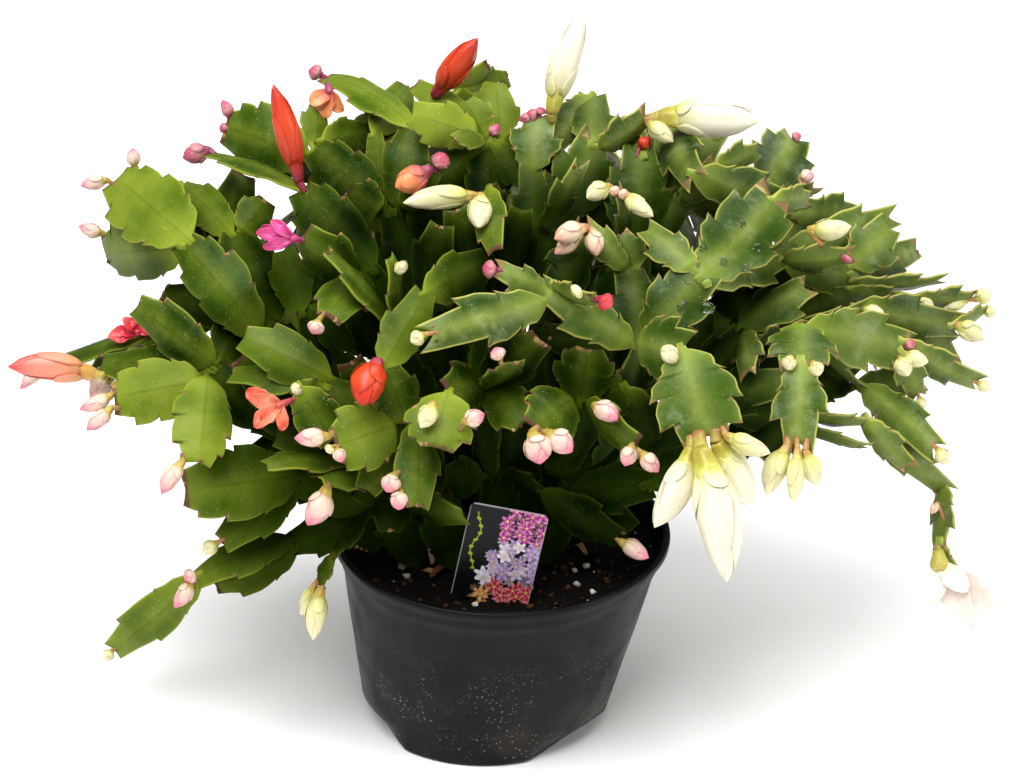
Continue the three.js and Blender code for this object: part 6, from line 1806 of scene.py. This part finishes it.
def labelMaterial():
    material, tree, shader = newMaterial("labelCard", 0.32, Specular_IOR_Level=0.16)
    place = marks(tree, "place")
    across = times(tree, place[0], label["width"] / 2)
    above = times(tree, place[1], label["height"])
    spot = addNode(tree, "CombineXYZ", {0: across, 1: above, 2: 0.0}).outputs[0]
    card = blend(tree, fade(tree, grain(tree, 300, 3), 0.3, 0.7), *label["card"])
    for scale, count, reach, dull in label["layers"]:
        inside, distance, petal, draw, right, up = blossoms(tree, spot, scale, count, reach)
        leaning = minus(tree, right, times(tree, up, 0.2))
        shown = times(tree, inside, fade(tree, leaning, -10.0, -9.5))
        warm = blend(tree, fade(tree, right, -1, 1), *label["warm"])
        cool = blend(tree, fade(tree, draw, 0.3, 0.7), *label["cool"])
        mixed = blend(tree, fade(tree, up, 33, 35), cool, label["bright"])
        mixed = blend(tree, fade(tree, up, 9, 11), warm, mixed)
        mixed = blend(tree, fade(tree, petal, 0.0, 1.0, 0.0, 0.35), mixed, label["ridge"])
        shade = times(tree, fade(tree, distance, reach * 1.1, reach * 0.3), 0.3)
        mixed = blend(tree, shade, mixed, label["heart"])
        mixed = blend(tree, fade(tree, distance, 0.9, 0.4), mixed, label["pollen"])
        mixed = blend(tree, dull, mixed, label["dull"])
        card = blend(tree, shown, card, mixed)
    # a plain wavy tendril up the dark side
    wave = times(tree, calc(tree, "SINE", times(tree, above, 0.3)), 1.5)
    aside = calc(tree, "ABSOLUTE", plus(tree, plus(tree, across, 13.0), wave))
    beads = calc(tree, "MAXIMUM", calc(tree, "COSINE", times(tree, above, 1.6)), 0.0)
    tendril = fade(tree, minus(tree, aside, times(tree, beads, 0.9)), 0.35, 0.15)
    reach = times(tree, fade(tree, above, 15, 16), fade(tree, above, 47, 46))
    card = blend(tree, times(tree, tendril, reach), card, label["tendril"])
    card = blend(tree, place[2], label["back"], card)
    sides = fade(tree, calc(tree, "ABSOLUTE", place[0]), 0.97, 0.985)
    border = calc(tree, "MAXIMUM", sides, fade(tree, above, 50.2, 50.6))
    card = blend(tree, times(tree, border, 0.6), card, label["border"])
    tree.links.new(card, shader.inputs["Base Color"])
    bumpUp(tree, shader, grain(tree, 500, 2), 0.0001, 0.2)
    return material


makePot()
makeSoil()
makeLabel()
print("cactus: pot, soil and label made")


# Floor, light and camera
studio = {
    "floor": ("fbfbfa", "fdfdfc"),
    "floorHalf": 6.0,
    "aim": (0.01, 0.02, 0.16),  # what the lights face
    "world": 0.2,
    "lights": [
        # name, place in metres, size in metres, watts
        ["key", (-0.5, -0.7, 2.3), 2.4, 97.0],
        ["back", (0.9, 1.0, 2.0), 1.4, 22.0],
        ["side", (1.7, -0.7, 0.8), 0.9, 12.0],
    ],
}


def makeFloor():
    mesh = bpy.data.meshes.new("floor")
    half = studio["floorHalf"]
    corners = [(-half, -half, 0), (half, -half, 0), (half, half, 0), (-half, half, 0)]
    mesh.from_pydata(corners, [], [(0, 1, 2, 3)])
    material, tree, shader = newMaterial("floorPaint", 0.75)
    pale = blend(tree, grain(tree, 3, 2), *studio["floor"])
    tree.links.new(pale, shader.inputs["Base Color"])
    mesh.materials.append(material)
    floor = bpy.data.objects.new("floor", mesh)
    bpy.context.scene.collection.objects.link(floor)


def makeLights():
    target = bpy.data.objects.new("lightTarget", None)
    target.location = studio["aim"]
    bpy.context.scene.collection.objects.link(target)
    for name, place, size, watts in studio["lights"]:
        lamp = bpy.data.lights.new(name, "AREA")
        lamp.energy = watts
        lamp.size = size
        lamp.shape = "DISK"
        holder = bpy.data.objects.new(name, lamp)
        holder.location = place
        way = target.location - holder.location
        holder.rotation_euler = way.to_track_quat("-Z", "Y").to_euler()
        bpy.context.scene.collection.objects.link(holder)
    bpy.data.objects.remove(target)
    world = bpy.data.worlds.new("studio")
    world.use_nodes = True
    world.node_tree.nodes["Background"].inputs["Color"].default_value = (1, 1, 1, 1)
    world.node_tree.nodes["Background"].inputs["Strength"].default_value = studio["world"]
    bpy.context.scene.world = world


def makeCamera():
    lens = bpy.data.cameras.new("photo")
    lens.sensor_fit = "HORIZONTAL"
    lens.lens = lens.sensor_width * plantView["distance"] / plantView["width"]
    holder = bpy.data.objects.new("photo", lens)
    holder.location = eye * millimetre
    holder.rotation_euler = (math.pi / 2 - viewTilt, 0, 0)
    bpy.context.scene.collection.objects.link(holder)
    bpy.context.scene.camera = holder


makeFloor()
makeLights()
makeCamera()
bpy.context.scene.view_settings.view_transform = "Standard"
print("cactus: floor, lights and camera made")
